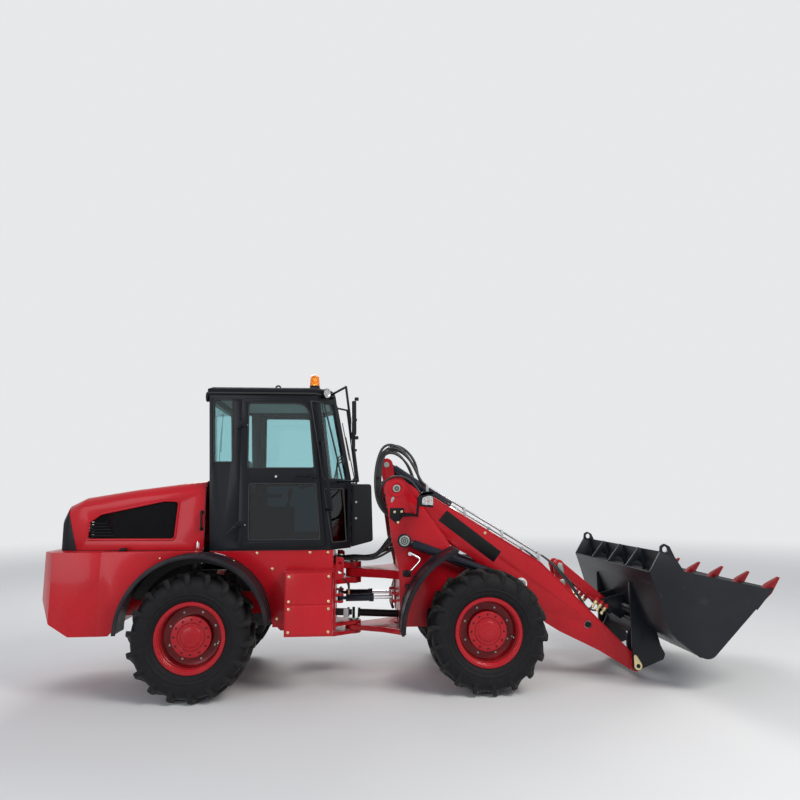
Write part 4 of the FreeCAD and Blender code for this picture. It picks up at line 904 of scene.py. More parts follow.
def hood_details():
    """Window rims with their woven screens, louvres, handles, latches, seals and the rear grille."""
    blade = ((0, -9), (11, -16), (16, -15), (5, -5))
    for side, name in SIDES:

        def skin(x, z, lift):
            return spot(x, side * (hood_half(x) + lift), z)

        rim = edging(HOOD_WINDOW, lambda a, b: skin(a, b, 1), 11, 6, 10)
        dress(rim, "window_rim_" + name, "red", "hood")
        dress(edging(HOOD_WINDOW, lambda a, b: skin(a, b, -4), 5, 6), "window_seal_" + name, "seal", "hood")
        wire_mesh("hood_screen_" + name, HOOD_WINDOW, lambda a, b: skin(a, b, -13), 12, 6.4, "hood")
        sheet = lofted([[skin(x, 1478, -19), skin(x, top, -19), skin(x, top, -22), skin(x, 1478, -22)]
                        for x, top in ((-2310, 1738), (-1990, 1806), (-1800, 1844), (-1680, 1842))])
        dress(sheet, "hood_screen_sheet_" + name, "plastic", "hood")
        slats = []
        for z, length in ((1500, 250), (1530, 230), (1560, 210), (1590, 190), (1620, 170)):
            slats.append(lofted([[skin(x, z + rise, lift) for rise, lift in blade]
                                 for x in (-2548, -2548 + length)], 1))
        dress(slats, "hood_louvres_" + name, "plastic", "hood")
        grip = side * (hood_half(-1420) + 38)
        foot = side * (hood_half(-1420) - 2)
        handle = bar([(-1421, foot, 1738), (-1421, grip, 1738), (-1417, grip, 1574), (-1417, foot, 1574)],
                     11, 22)
        dress(handle, "hood_handle_" + name, "black", "hood")
        pads = [turned([(0, 0), (21, 0), (21, 3), (16, 6), (0, 6)], skin(-1420, z, -1), out(side), 20)
                for z in (1738, 1574)]
        dress(pads, "handle_pads_" + name, "plastic", "hood")
        y = side * (hood_half(-1448) + 1)
        keeper = [(-1462, 1372, 4), (-1434, 1372, 4), (-1436, 1440, 10), (-1460, 1440, 10)]
        hook = [(-1448, y + side * 6, 1384), (-1448, y + side * 26, 1396), (-1448, y + side * 22, 1452)]
        latch = [between_faces(keeper, y, y + side * 8, 1.5), bar(hook, 6, 12)]
        dress(latch, "hood_latch_" + name, "chrome", "hood")
        strip = [spot(x, side * (hood_half(x) - 6), 1366.2) for x in (-2800, -2765, -2604, -2107, -1400)]
        dress(swept(strip, 5.5, sides=8), "hood_seal_" + name, "seal", "hood")
        stop = slab((-2200, side * 610 - 22, 1362.3), (-2140, side * 610 + 22, 1392), 5)
        dress(stop, "hood_stop_" + name, "plastic", "rear_frame")
    slats = []
    for z in range(1452, 1648, 28):
        section = ((-2806, z), (-2792, z + 17), (-2788, z + 13), (-2802, z - 4))
        slats.append(lofted([[spot(x, y, level) for x, level in section] for y in (-334, 334)], 1))
    for y in (-170, 0, 170):
        slats.append(slab((-2800, y - 5, 1440), (-2788, y + 5, 1650), 1.5))
    dress(slats, "rear_louvres", "plastic", "hood")
    mouth = ((-342, 1438, 30), (342, 1438, 30), (322, 1652, 30), (-322, 1652, 30))
    rear_rim = edging(mouth, lambda a, b: spot(-2813, a, b), 9, 6)
    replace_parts(dress(rear_rim, "rear_grille_rim", "plastic", "hood"), "hood_grilles")


def tail_lamps():
    """Round-edged lamp bodies in the counterweight's pockets, each with its lens and bezel."""
    bezels = []
    reds = []
    ambers = []
    dot = [(0, 0), (15, 0), (14, 2), (8, 3.5), (0, 4)]
    for side in (-1, 1):
        y = side * 527.5
        for low, high, kind in ((1080, 1160, reds), (935, 1005, ambers)):
            bezels.append(slab((-2900, y - 51, low + 1), (-2880, y + 51, high - 1), 8, 3))
            kind.append(slab((-2904, y - 44, low + 7), (-2890, y + 44, high - 7), 7, 3))
            kind.append(turned(dot, spot(-2903, y, (low + high) / 2), (-1, 0, 0), 20))
    dress(bezels, "tail_lamp_bezels", "plastic", "rear_frame")
    dress(reds, "tail_lenses", "tail", "rear_frame")
    dress(ambers, "turn_lenses", "amber", "rear_frame")


def counterweight_details():
    """Bolts of the body's sides, the tow hitch's pin and two tie-down eyes."""
    rows = [(x, side * BODY_HALF, z, out(side), 10) for side in (-1, 1)
            for x, z in ((-1772, 1300), (-1342, 1325))]
    bolts("rear_body_bolts", "zinc", "rear_frame", rows, "dome")
    shank = [(0, 0), (16, 0), (16, 190), (22, 191), (22, 205), (0, 206)]
    pin = [turned(shank, spot(-2854, 0, 712), (0, 0, 1), 24),
           bar([(-2854, -14, 912), (-2854, -30, 950), (-2854, 30, 950), (-2854, 14, 912)], 5, 14)]
    dress(pin, "tow_pin", "steel", "rear_frame")
    ring = [(20, -9), (34, -9), (38, -5), (38, 5), (34, 9), (20, 9), (20, -9)]
    eyes = [turned(ring, spot(-2870, side * 300, 800), out(side), 28) for side in (-1, 1)]
    dress(eyes, "tie_down_eyes", "red", "rear_frame")


def on_arch(radius, y, degrees):
    """Point of the rear wheel arch's circle, or of one about the same centre."""
    angle = math.radians(degrees)
    return spot(ARCH[0] + radius * math.cos(angle), y, ARCH[1] + radius * math.sin(angle))


def fender_liners():
    """Black flaps that close the gap between the fenders' inner edges and the tyres' tops."""
    outline = ((604, 664), (ARCH_RADIUS + 1, 664), (ARCH_RADIUS + 1, 668), (604, 668))
    for side, name in SIDES:
        rings = [[on_arch(radius, side * y, degrees) for radius, y in outline]
                 for degrees in range(24, 157, 6)]
        dress(lofted(rings), "fender_liner_" + name, "seal", "rear_frame")


def rear_fender_details():
    """Bolts that hold the fender to the body's side."""
    for side, name in SIDES:
        rows = []
        for degrees in (62, 92, 122, 150):
            way = (math.cos(math.radians(degrees)), 0, math.sin(math.radians(degrees)))
            rows.append((ARCH[0] + ARCH_RADIUS * way[0], side * 720, ARCH[1] + ARCH_RADIUS * way[2], way, 11))
        bolts("rear_fender_bolts_" + name, "zinc", "rear_frame", rows, "dome")


def toolbox_details():
    """Bolts of the box's two covers and of the skirt behind."""
    rows = [(x, -888, z, (0, -1, 0), 10) for x in (-512, -132) for z in (614, 826, 896, 1128)]
    bolts("toolbox_bolts", "zinc", "rear_frame", rows)
    skirt = [(x, side * 655, z, out(side), 10) for side in (-1, 1)
             for x, z in ((-855, 1335), (-700, 1180), (-645, 700), (-330, 1335), (-150, 1335))]
    bolts("skirt_bolts", "zinc", "rear_frame", skirt)


def step_details():
    """Punched treads on the ladder."""
    studs = [(-500 + column * 46, 690 + row * 48, z, (0, 0, 1), 9)
             for z in (452, 692, 932, 1172) for row in range(4) for column in range(9)]
    bolts("step_studs", "black", "rear_frame", studs, "dome")


# Cab

UPPER_PANE = ((-968, 2178, 25), (-300, 2178, 25), (-366, 2840, 150), (-975, 2840, 25))
LOWER_PANE = ((-940, 1465, 25), (-231, 1465, 25), (-284, 2020, 25), (-950, 2020, 25))
DOOR_LOCK_Z = 2092
DOOR_LOCKS = (
    # x, profile: the lock at the door's middle and the turning handle at its front edge
    (-682, ((0, 0), (30, 0), (30, 4), (25, 8), (13, 9), (12, 15), (0, 15))),
    (-292, ((0, 0), (24, 0), (24, 5), (20, 9), (16, 22), (18, 30), (12, 36), (0, 37))),
)
QUARTER_PANE = ((-1311, 2240, 25), (-1122, 2240, 25), (-1147, 2880, 25), (-1339, 2880, 25))
CORNER_PANES = (((58, 2068, 20), (318, 2068, 20), (200, 2862, 20), (-12, 2862, 20)),
                ((98, 1430, 20), (326, 1430, 20), (326, 1970, 20), (52, 1970, 20)))


def above_floor(z):
    """Share of the cab's height that lies below z."""
    return (z - CAB_FLOOR_Z) / (CAB_TOP_Z - CAB_FLOOR_Z)


def above_knee(z):
    """Share of the windscreen's height that lies below z."""
    return (z - CAB_KNEE_Z) / (CAB_TOP_Z - CAB_KNEE_Z)


def cab_corner(a, z, side):
    """Point on the slanted corner panel, a along the panel from its door edge."""
    lean = max(0, above_knee(z))
    start = Vector((-121 - 169 * above_floor(z), CAB_HALF))
    end = Vector((CAB_NOSE_X - CAB_NOSE_LEAN * lean, 400))
    point = start + (end - start).normalized() * (a - 72 - 20 * lean)
    return spot(point.x, side * point.y, z)


def door_details():
    """Window seals, lock, handles, hinge bolts and the pressed line at each door's foot."""
    for side, name in SIDES:
        body = "door_" + name
        y = side * DOOR_FACE
        seals = [edging(pane, lambda a, b: spot(a, y, b), 7) for pane in (UPPER_PANE, LOWER_PANE)]
        dress(seals, "door_seals_" + name, "seal", body)
        lock = [turned(profile, spot(x, y, DOOR_LOCK_Z), out(side), 32) for x, profile in DOOR_LOCKS]
        dress(lock, "door_lock_" + name, "plastic", body)
        slot = [(0, 0), (11, 0), (11, 2), (3, 2.2), (3, 0.8), (0, 0.8)]
        key = turned(slot, spot(-682, y + side * 14, DOOR_LOCK_Z), out(side), 20)
        dress(key, "door_key_plate_" + name, "chrome", body)
        reach = ((-470, 0), (-470, 46), (-360, 46), (-360, 0))
        pull = bar([(x, y + side * lift, 2098) for x, lift in reach], 9, 18)
        dress(pull, "door_pull_" + name, "black", body)
        rows = [(x, y, z, out(side), 7) for x in (-1020, -980) for z in (1612, 2612)]
        bolts("door_hinge_bolts_" + name, "steel", body, rows)
        swage = between_faces([(-930, 1425, 8), (-250, 1425, 8), (-254, 1445, 8), (-930, 1445, 8)],
                              y - side, y + side * 4)
        dress(swage, "door_swage_" + name, "black", body)


def cab_seals():
    """Seals around the windows of the cab's sides, corners, front and back."""
    seals = []
    for side in (-1, 1):
        seals.append(edging(QUARTER_PANE, lambda a, b: spot(a, side * CAB_HALF, b), 7))
        for pane in CORNER_PANES:
            seals.append(edging(pane, lambda a, b: cab_corner(a, b, side), 7))
    screen = panel(-370, 2070, 370, 2862, 30)
    seals.append(edging(screen, lambda a, b: spot(CAB_NOSE_X - CAB_NOSE_LEAN * above_knee(b), a, b), 8))
    rear = panel(-560, 2160, 560, 2850, 40)
    seals.append(edging(rear, lambda a, b: spot(-1320 - 64 * above_floor(b), a, b), 8))
    dress(seals, "cab_window_seals", "seal", "rear_frame")


def wipers():
    """One wiper on the windscreen and one behind, each with its motor cap."""
    cap = [(0, 0), (26, 0), (26, 12), (18, 22), (0, 23)]
    for name, x, lean, z_low, way in (("front", 86, -0.196, 2090, 1), ("rear", -1363, -0.041, 2180, -1)):
        def at(y, z, lift):
            return (x + lean * (z - z_low) + way * lift, y, z)

        arm = [bar([at(-60, z_low - 26, 10), at(-60, z_low - 20, 26), at(60, z_low + 470, 16)], 6, 14),
               turned(cap, spot(*at(-60, z_low - 26, 0)), (way, 0, 0), 24)]
        dress(arm, "wiper_arm_" + name, "black", "rear_frame")
        blade = lofted([[spot(*at(y + a, z, b)) for a, b in ((-5, 2), (-2, 13), (2, 13), (5, 2))]
                        for y, z in ((-20, z_low + 200), (40, z_low + 420), (110, z_low + 640))], 1)
        dress(blade, "wiper_blade_" + name, "seal", "rear_frame")


def roof_details():
    """Seal under the roof's edge, and the feet of its lifting eyes."""
    edge = ((-1402, -674), (-310, -674), (-106, -470), (-106, 470), (-310, 674), (-1402, 674))
    dress(edging(edge, lambda a, b: spot(a, b, 2948), 9), "roof_gutter", "seal", "rear_frame")
    foot = [(0, 0), (30, 0), (30, 5), (22, 9), (0, 10)]
    feet = [turned(foot, spot(-727, side * 300, 3023), (0, 0, 1), 28) for side in (-1, 1)]
    dress(feet, "lifting_eye_feet", "black", "rear_frame")


def beacon():
    """Base of the beacon and its ribbed lens."""
    centre = spot(-326, -400, 3015)
    base = turned([(0, 0), (58, 0), (60, 4), (60, 34), (54, 42), (54, 58), (0, 58)], centre, (0, 0, 1), 40)
    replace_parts(dress(base, "beacon_base", "plastic", "rear_frame"), "beacon")
    profile = [(0, 58), (53, 58), (54, 66)]
    for step in range(9):
        z = 70 + step * 10
        profile += [(54 - step * 0.7, z), (51 - step * 0.7, z + 5)]
    profile += [(45, 160), (34, 172), (14, 178), (0, 179)]
    dress(turned(profile, centre, (0, 0, 1), 40), "beacon_lens", "amber", "rear_frame")


def work_lamps():
    """Lamps at the roof's front corners and at its rear: finned bodies, each with its reflector and lens."""
    shell = [(0, 1), (18, 1), (20, 8), (34, 14), (38, 20), (36, 22), (42, 25), (40, 28), (47, 31), (52, 36),
             (53, 58), (50, 61), (48, 59), (48, 50), (0, 50)]
    bowl = [(47.5, 58), (40, 53), (20, 51), (8, 50.4), (8, 55), (0, 56)]
    cover = [(0, 57), (48, 57), (48.5, 59), (30, 61.5), (0, 62.5)]
    rows = []
    for side in (-1, 1):
        rows.append((spot(-222.8, side * 562.5, 2962), (0.70, side * 0.714, 0)))
        rows.append((spot(-1400.3, side * 430, 2940), (-1, 0, 0)))
    for name, look, profile in (("bodies", "plastic", shell), ("bowls", "mirror", bowl),
                                ("lenses", "clear", cover)):
        made = [turned(profile, centre, way, 36) for centre, way in rows]
        piece = dress(made, "work_lamp_" + name, look, "rear_frame")
        if name == "bodies":
            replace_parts(piece, "lamps")


def mirror_details():
    """Glass of each mirror, and the clamps that hold it to its rail."""
    sleeve = [(0, -16), (19, -16), (21, -12), (21, 12), (19, 16), (0, 16)]
    for side, name in SIDES:
        low, high = sorted((side * 824, side * 976))
        face = plate(panel(low, 2514, high, 2816, 20), 74, 79, "front", 1)
        dress(face, "mirror_glass_" + name, "mirror", "rear_frame")
        clamps = [turned(sleeve, spot(124, side * 900, z), (0, 0, 1), 24) for z in (2470, 2860)]
        dress(clamps, "mirror_clamps_" + name, "plastic", "rear_frame")


def front_box_details():
    """Bolts on the box's sides and a pressed panel on its front."""
    pressed = plate(panel(-300, 1450, 300, 1930, 20), 268, 276, "front", 3)
    dress(pressed, "front_box_panel", "plastic", "rear_frame")
    rows = [(x, side * 350, z, out(side), 9) for side in (-1, 1) for x, z in ((130, 1830), (130, 1660))]
    bolts("front_box_bolts", "steel", "rear_frame", rows)


SEAT_VOXEL = 0.006
CLOTH_FRAMES = 20


def padded_form(name, rings, cap):
    """Cushion blown up by cloth from a lofted start, with no point moved further than cap millimetres."""
    piece = lofted(rings, 26, 3)
    modify(piece, "REMESH", mode="VOXEL", voxel_size=SEAT_VOXEL)
    before = [vertex.co.copy() for vertex in piece.data.vertices]
    only(piece)
    cloth = piece.modifiers.new("Cloth", "CLOTH")
    cloth.settings.use_pressure = True
    cloth.settings.uniform_pressure_force = 4
    cloth.settings.effector_weights.gravity = 0
    cloth.point_cache.frame_start = 1
    cloth.point_cache.frame_end = CLOTH_FRAMES
    for step in range(1, CLOTH_FRAMES + 1):
        bpy.context.scene.frame_set(step)
    bpy.ops.object.modifier_apply(modifier=cloth.name)
    for vertex, start in zip(piece.data.vertices, before):
        move = vertex.co - start
        if move.length > cap / 1000:
            vertex.co = start + move.normalized() * cap / 1000
    bpy.context.scene.frame_set(1)
    modify(piece, "SMOOTH", factor=0.5, iterations=4)
    modify(piece, "SUBSURF", levels=1, render_levels=1)
    dress(piece, name, "leather", "rear_frame", 80)
    return piece


def seat():
    """Cushion and back blown up by cloth, with bolsters, piping, bellows, armrests and the boom's lever."""
    def across(half, points):
        return [[spot(x, y, z) for x, z in points] for y in (-half, half)]

    bottom = across(215, ((-1030, 1655), (-640, 1662), (-625, 1722), (-1030, 1745)))
    upright = across(205, ((-1052, 1742), (-978, 1742), (-1075, 2305), (-1150, 2305)))
    cushion = padded_form("seat_cushion", bottom, 18)
    padded_form("seat_back", upright, 18)
    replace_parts(cushion, "seat")
    wings = []
    for side in (-1, 1):
        for y, radius, line in ((196, 26, ((-1010, 1768), (-1040, 1900), (-1075, 2090), (-1108, 2260))),
                                (205, 24, ((-1000, 1738), (-850, 1736), (-700, 1728), (-650, 1716)))):
            wings.append(hose([(x, side * y, z) for x, z in line], radius))
    dress(wings, "seat_bolsters", "leather", "rear_frame", 80)
    piping = [swept(bent([(-1026, side * 218, 1700), (-636, side * 218, 1694)], 10), 4, sides=8)
              for side in (-1, 1)]
    dress(piping, "seat_piping", "seal", "rear_frame")
    folds = [(168 - (step % 2) * 12, 1392 + step * 28) for step in range(9)]
    base = turned([(0, 1386), (200, 1386), (200, 1392)] + folds + [(190, 1636), (0, 1636)],
                  spot(-840, 0, 0), (0, 0, 1), 48)
    dress(base, "seat_bellows", "seal", "rear_frame", 50)
    arms = []
    for side in (-1, 1):
        arms.append(slab((-1010, side * 275 - 32, 1880), (-720, side * 275 + 32, 1925), 16, 4))
        arms.append(slab((-1020, side * 262 - 12, 1850), (-960, side * 262 + 12, 1900), 6, 2))
    dress(arms, "seat_armrests", "leather", "rear_frame", 60)
    console = slab((-960, -420, 1386), (-520, -290, 1790), 30, 4)
    dress(console, "side_console", "plastic", "rear_frame")
    gaiter = ((0, 0), (30, 0), (26, 10), (14, 22), (9, 28), (9, 90), (0, 90))
    knob = ((0, 84), (14, 86), (20, 110), (24, 150), (20, 182), (10, 194), (0, 196))
    lever = [turned(profile, spot(-590, -355, 1788), (0.15, 0, 1), 24) for profile in (gaiter, knob)]
    dress(lever, "boom_lever", "plastic", "rear_frame")


def cab_inside():
    """Headliner, floor mat, steering wheel, dials and the cables up the corner post."""
    ceiling = plate([(-1320, -600, 40), (-330, -600, 40), (-180, -400, 40), (-180, 400, 40), (-330, 600, 40),
                     (-1320, 600, 40)], 2902, 2925, "plan", 6)
    dress(ceiling, "headliner", "lining", "rear_frame")
    mat = plate([(-1270, -590, 40), (-190, -590, 40), (-20, -350, 40), (-20, 350, 40), (-190, 590, 40),
                 (-1270, 590, 40)], 1384.5, 1392, "plan", 3)
    dress(mat, "floor_mat", "seal", "rear_frame")
    tilt = Vector((-0.24, 0, 1)).normalized()
    centre = spot(-306, 0, 2035)
    side_way = Vector((0, 1, 0))
    up_way = tilt.cross(side_way)
    grip = [centre + (side_way * math.cos(angle) + up_way * math.sin(angle)) * 0.19
            for angle in (index * math.tau / 48 for index in range(48))]
    dress(swept(grip, 17, closed=True, sides=12), "steering_grip", "leather", "rear_frame")
    boss = turned([(0, -30), (34, -30), (52, -6), (56, 8), (48, 20), (20, 26), (0, 27)], centre, tilt, 32)
    dress(boss, "steering_boss", "plastic", "rear_frame")
    knob = turned([(0, 0), (8, 0), (8, 22), (20, 30), (24, 44), (18, 58), (0, 62)],
                  centre + (side_way * -0.13 + up_way * -0.139) + tilt * 0.012, tilt, 24)
    dress(knob, "steering_knob", "plastic", "rear_frame")
    dial = [(0, 0), (48, 0), (50, 4), (46, 8), (44, 5), (0, 5)]
    dials = [turned(dial, spot(-196, y, 1880), (-0.9, 0, 0.4), 32) for y in (-70, 70)]
    dress(dials, "dash_dials", "plastic", "rear_frame")
    loops = []
    for drop in (0, 22, 44):
        loops.append(hose([(-60 - drop, -470, 2060), (-90, -500, 2200 - drop), (-60, -480, 2340 - 2 * drop),
                           (0, -430, 2300 - drop), (20, -400, 2140), (30, -390, 2020 - drop)], 7, 8))
    dress(loops, "cab_cables", "hose", "rear_frame")


# Articulation

def ferrule(point, way, radius):
    """Crimped hose end with a hexagon nut, looking along way."""
    r = radius
    profile = [(0, 0), (r + 3, 0), (r + 4, 3), (r + 4, 26), (r + 2, 30), (r + 2, 34), (0, 34)]
    crimp = turned(profile, spot(*point), way, 20)
    nut = hexagon(r + 6, 20, 43, 1.2)
    nut.data.transform(Matrix.Translation(spot(*point)) @ facing(way))
    return [crimp, nut]


JOINT_HOSES = (
    # y and z at the bulkhead, rise of the loop, radius
    (-150, 1215, 60, 13), (-95, 1225, 95, 15), (-40, 1232, 60, 13), (30, 1230, 85, 15), (90, 1222, 55, 13),
    (150, 1214, 80, 13),
)


def joint_hoses():
    """Hoses that loop across the articulation, from the rear bulkhead to the front frame's back plate."""
    fittings = []
    ends = []
    for index, (y, z, rise, radius) in enumerate(JOINT_HOSES):
        y_end = y * 0.9
        z_end = 1330 + (index % 3) * 70
        points = [(-70, y, z), (30, y, z), (120, y * 1.1, z + rise * 0.2), (260, y * 1.15, z - 10),
                  (420, y * 1.1, z + rise * 0.5), (520, y, z_end - 10), (598, y_end, z_end)]
        piece = dress(hose(points, radius), "joint_hose_%d" % index, "hose", "rear_frame")
        piece.parent = None
        spot(-40, 0, 1200)
        spot(560, 0, 1300)
        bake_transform(piece)
        fittings += ferrule((-80, y, z), (1, 0, 0), radius)
        ends += ferrule((612, y_end, z_end), (-1, 0, 0), radius)
    dress(fittings, "bulkhead_fittings", "zinc", "rear_frame")
    dress(ends, "tower_fittings", "zinc", "front_frame")
    block = slab((-108, -200, 1185), (-74, 200, 1250), 5)
    dress(block, "hose_block", "black", "rear_frame")
    cover = slab((6, -235, 626), (58, -165, 704), 4)
    dress(cover, "grey_sender_box", "grey", "rear_frame")


def pivot_details():
    """Bolts of the pivot's cap, the drive shaft's joint and the steering cylinders' ports."""
    rows = [(PIVOT_X + x, y, 1202, (0, 0, 1), 7) for x, y in ((-34, 0), (34, 0), (0, 34), (0, -34))]
    bolts("pivot_bolts", "steel", "rear_frame", rows)
    flange = [(0, 0), (26, 0), (30, 4), (30, 26), (26, 30), (0, 30)]
    arm = [(0, -55), (13, -55), (15, -51), (15, 51), (13, 55), (0, 55)]
    hub = [turned(flange, spot(PIVOT_X - 48, 0, 640), (1, 0, 0), 24),
           turned(arm, spot(PIVOT_X, 0, 638), (0, 1, 0), 20),
           turned(arm, spot(PIVOT_X, 0, 638), (0, 0, 1), 20)]
    dress(hub, "shaft_joint", "black", "rear_frame")
    for side, name in SIDES:
        port = ferrule((60, side * 197, 858), (0, 0, 1), 8)
        dress(port, "steer_port_" + name, "zinc", "steer_barrel_" + name)
    caps = [(-30, side * 200, 872, (0, 0, 1), 12) for side in (-1, 1)]
    bolts("steer_pin_caps", "steel", "rear_frame", caps)


# Front half

def washer_stack(x, y, z, side, radius):
    """Stepped washer, ring and grease nipple at a pin's end."""
    r = radius
    profile = [(0, 0), (r + 16, 0), (r + 18, 2), (r + 18, 7), (r + 15, 9), (r + 3, 9), (r + 1, 6), (r - 5, 6),
               (r - 7, 9), (r * 0.55, 9), (r * 0.5, 6), (r * 0.3, 6), (r * 0.25, 10), (0, 10)]
    return turned(profile, spot(x, y, z), out(side), 48)


def tear(point, y, side, reach, big, small, thick=8):
    """Tear-shaped locking plate: round about the pin at point, narrowing over reach to its bolt."""
    start = Vector(point)
    way = Vector(reach)
    length = way.length
    base = math.atan2(way.y, way.x)
    lean = math.acos((big - small) / length)
    corners = []
    for step in range(15):
        angle = base + lean + (math.tau - 2 * lean) * step / 14
        corners.append(tuple(start + Vector((math.cos(angle), math.sin(angle))) * big))
    for step in range(7):
        angle = base - lean + 2 * lean * step / 6
        corners.append(tuple(start + way + Vector((math.cos(angle), math.sin(angle))) * small))
    return plate(corners, *sorted((y, y + side * thick)), edge=2)


def groove_seals(x, y, z, side, radius):
    """Black rings in the two grooves of a pin's washer stack."""
    rings = []
    for low, high in ((radius - 7, radius + 2), (radius * 0.26, radius * 0.54)):
        band = [(low, 4), (high, 4), (high, 8.5), (low, 8.5), (low, 4)]
        rings.append(turned(band, spot(x, y, z), out(side), 40))
    return rings


def tower_details():
    """Pin ends with their keepers, and the bolts of the lamp brackets."""
    washers = []
    seals = []
    rows = []
    straps = []
    for side in (-1, 1):
        y = side * (TOWER_FACE + 6)
        washers.append(washer_stack(BOOM_PIN[0], y, BOOM_PIN[1], side, 22))
        washers.append(washer_stack(LIFT_FOOT[0], side * 548, LIFT_FOOT[1], side, 36))
        seals += groove_seals(BOOM_PIN[0], y, BOOM_PIN[1], side, 22)
        seals += groove_seals(LIFT_FOOT[0], side * 548, LIFT_FOOT[1], side, 36)
        strap = (BOOM_PIN[0] - 38, BOOM_PIN[1] - 104)
        straps.append(tear(strap, side * TOWER_FACE, side, (-14, -34), 16, 9, 6))
        for x, z in ((536, 1726), (611, 1729), (571, 1619)):
            rows.append((x, side * (TOWER_FACE + 8), z, out(side), 10))
    dress(washers, "tower_pin_washers", "steel", "front_frame")
    dress(seals, "tower_pin_seals", "seal", "front_frame")
    dress(straps, "tower_pin_keepers", "steel", "front_frame")
    bolts("tower_bolts", "zinc", "front_frame", rows)


TOWER_HOSES = (
    # y at the tower, y at the boom, top height, furthest back
    (-352, -341, 2446, 330), (-318, -341, 2412, 352), (-300, -301, 2392, 372), (-268, -262, 2440, 388),
    (300, 301, 2398, 378), (352, 341, 2432, 355),
)


def hose_loops():
    """Six hoses that rise behind the tower, loop over its top and run down to the boom's pipes."""
    fittings = []
    pipes = []
    for index, (y, y_boom, top, back) in enumerate(TOWER_HOSES):
        points = [(576, y, 1640), (500, y, 1660), (back + 30, y, 1780), (back, y, 1990), (back + 5, y, 2200),
                  (back + 70, y, top - 20), (back + 175, y_boom, top + 14), (back + 300, y_boom, top - 50),
                  (back + 400, y_boom, top - 190), (800, y_boom, 2110), (838, y_boom, 2034),
                  (880, y_boom, 2008)]
        piece = dress(hose(points, 14, 14), "tower_hose_%d" % index, "hose", "front_frame")
        piece.parent = None
        spot(480, 0, 2300)
        spot(850, 0, 2040)
        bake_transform(piece)
        fittings += ferrule((588, y, 1636), (-1, 0, 0.2), 14)
        pipes += ferrule((908, y_boom, 1991), (-0.857, 0, 0.515), 11)
    dress(fittings, "valve_fittings", "zinc", "front_frame")
    dress(pipes, "pipe_fittings", "zinc", "boom")
    dress(slab((352, -372, 2080), (386, 372, 2096), 4), "hose_rail", "black", "front_frame")
    for side, name in SIDES:
        harness = hose([(370, side * 380, 1900), (392, side * 430, 2010), (470, side * 464, 2092),
                        (600, side * 466, 2112), (724, side * 470, 2058), (770, side * 560, 1960),
                        (790, side * 640, 1925)], 11, 12)
        dress(harness, "lamp_harness_" + name, "hose", "front_frame")


def head_lamp(side, name):
    """Black arched lamp with a pale lens on its face and one on its outer side, on a bolted bracket."""
    body = "front_frame"
    base = [(485, 1769, 10), (633, 1768, 10), (633, 1685, 10), (559, 1603, 14), (485, 1665, 10)]
    bracket = [between_faces(base, side * (TOWER_FACE + 0.2), side * (TOWER_FACE + 8)),
               bar([(600, side * 470, 1693), (752, side * 482, 1693), (752, side * 668, 1693),
                    (762, side * 672, 1800)], 13, 34),
               bar([(610, side * 454, 1714), (700, side * 470, 1706), (752, side * 500, 1700)], 7, 20)]
    dress(bracket, "lamp_bracket_" + name, "black", body)
    y_low, y_high = sorted((side * 602, side * 738))
    outer = [(757, 1793, 18), (905, 1775, 10), (913, 1786, 6), (913, 1910, 12), (886, 1928, 20),
             (800, 1926, 46), (757, 1880, 30)]
    shell = plate(outer, y_low, y_high, edge=14, segments=4)
    pocket = [(885, 1796, 8), (930, 1796), (930, 1906), (885, 1906, 8)]
    cut_by(shell, plate(pocket, y_low + 13, y_high - 13, edge=0))
    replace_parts(dress(shell, "lamp_shell_" + name, "plastic", body), "head_lamps")
    visor = plate([(786, 1902, 20), (812, 1928, 30), (898, 1934, 12), (919, 1916, 8), (925, 1922, 4),
                   (902, 1942, 14), (808, 1938, 36), (776, 1904, 10)], y_low - 3, y_high + 3, edge=2)
    dress(visor, "lamp_visor_" + name, "plastic", body)
    window = [(796, 1808, 14), (908, 1800, 6), (908, 1884, 10), (866, 1898, 40), (796, 1874, 34)]
    dress(between_faces(window, side * 736, side * 740, 0.8), "lamp_side_bowl_" + name, "pale", body)
    dress(between_faces(window, side * 740.5, side * 745), "lamp_side_lens_" + name, "clear", body)
    blinker = turned([(0, 0), (15, 0), (14, 2), (8, 3), (0, 3.3)], spot(858, side * 740, 1846), out(side), 24)
    dress(blinker, "lamp_blinker_" + name, "amber", body)
    y = side * 670
    bowl = turned([(50, 0), (44, -12), (26, -22), (10, -25), (10, -12), (7, -8), (0, -8)], spot(906, y, 1851),
                  (1, 0, 0), 36)
    dress(bowl, "lamp_bowl_" + name, "mirror", body)
    bulb = turned([(0, -20), (8, -18), (12, -8), (10, 0), (0, 4)], spot(903, y, 1851), (1, 0, 0), 24)
    dress(bulb, "lamp_bulb_" + name, "amber", body)
    glass = plate(panel(y_low + 14, 1797, y_high - 14, 1905, 16), 906, 911, "front", 2)
    dress(glass, "lamp_lens_" + name, "clear", body)


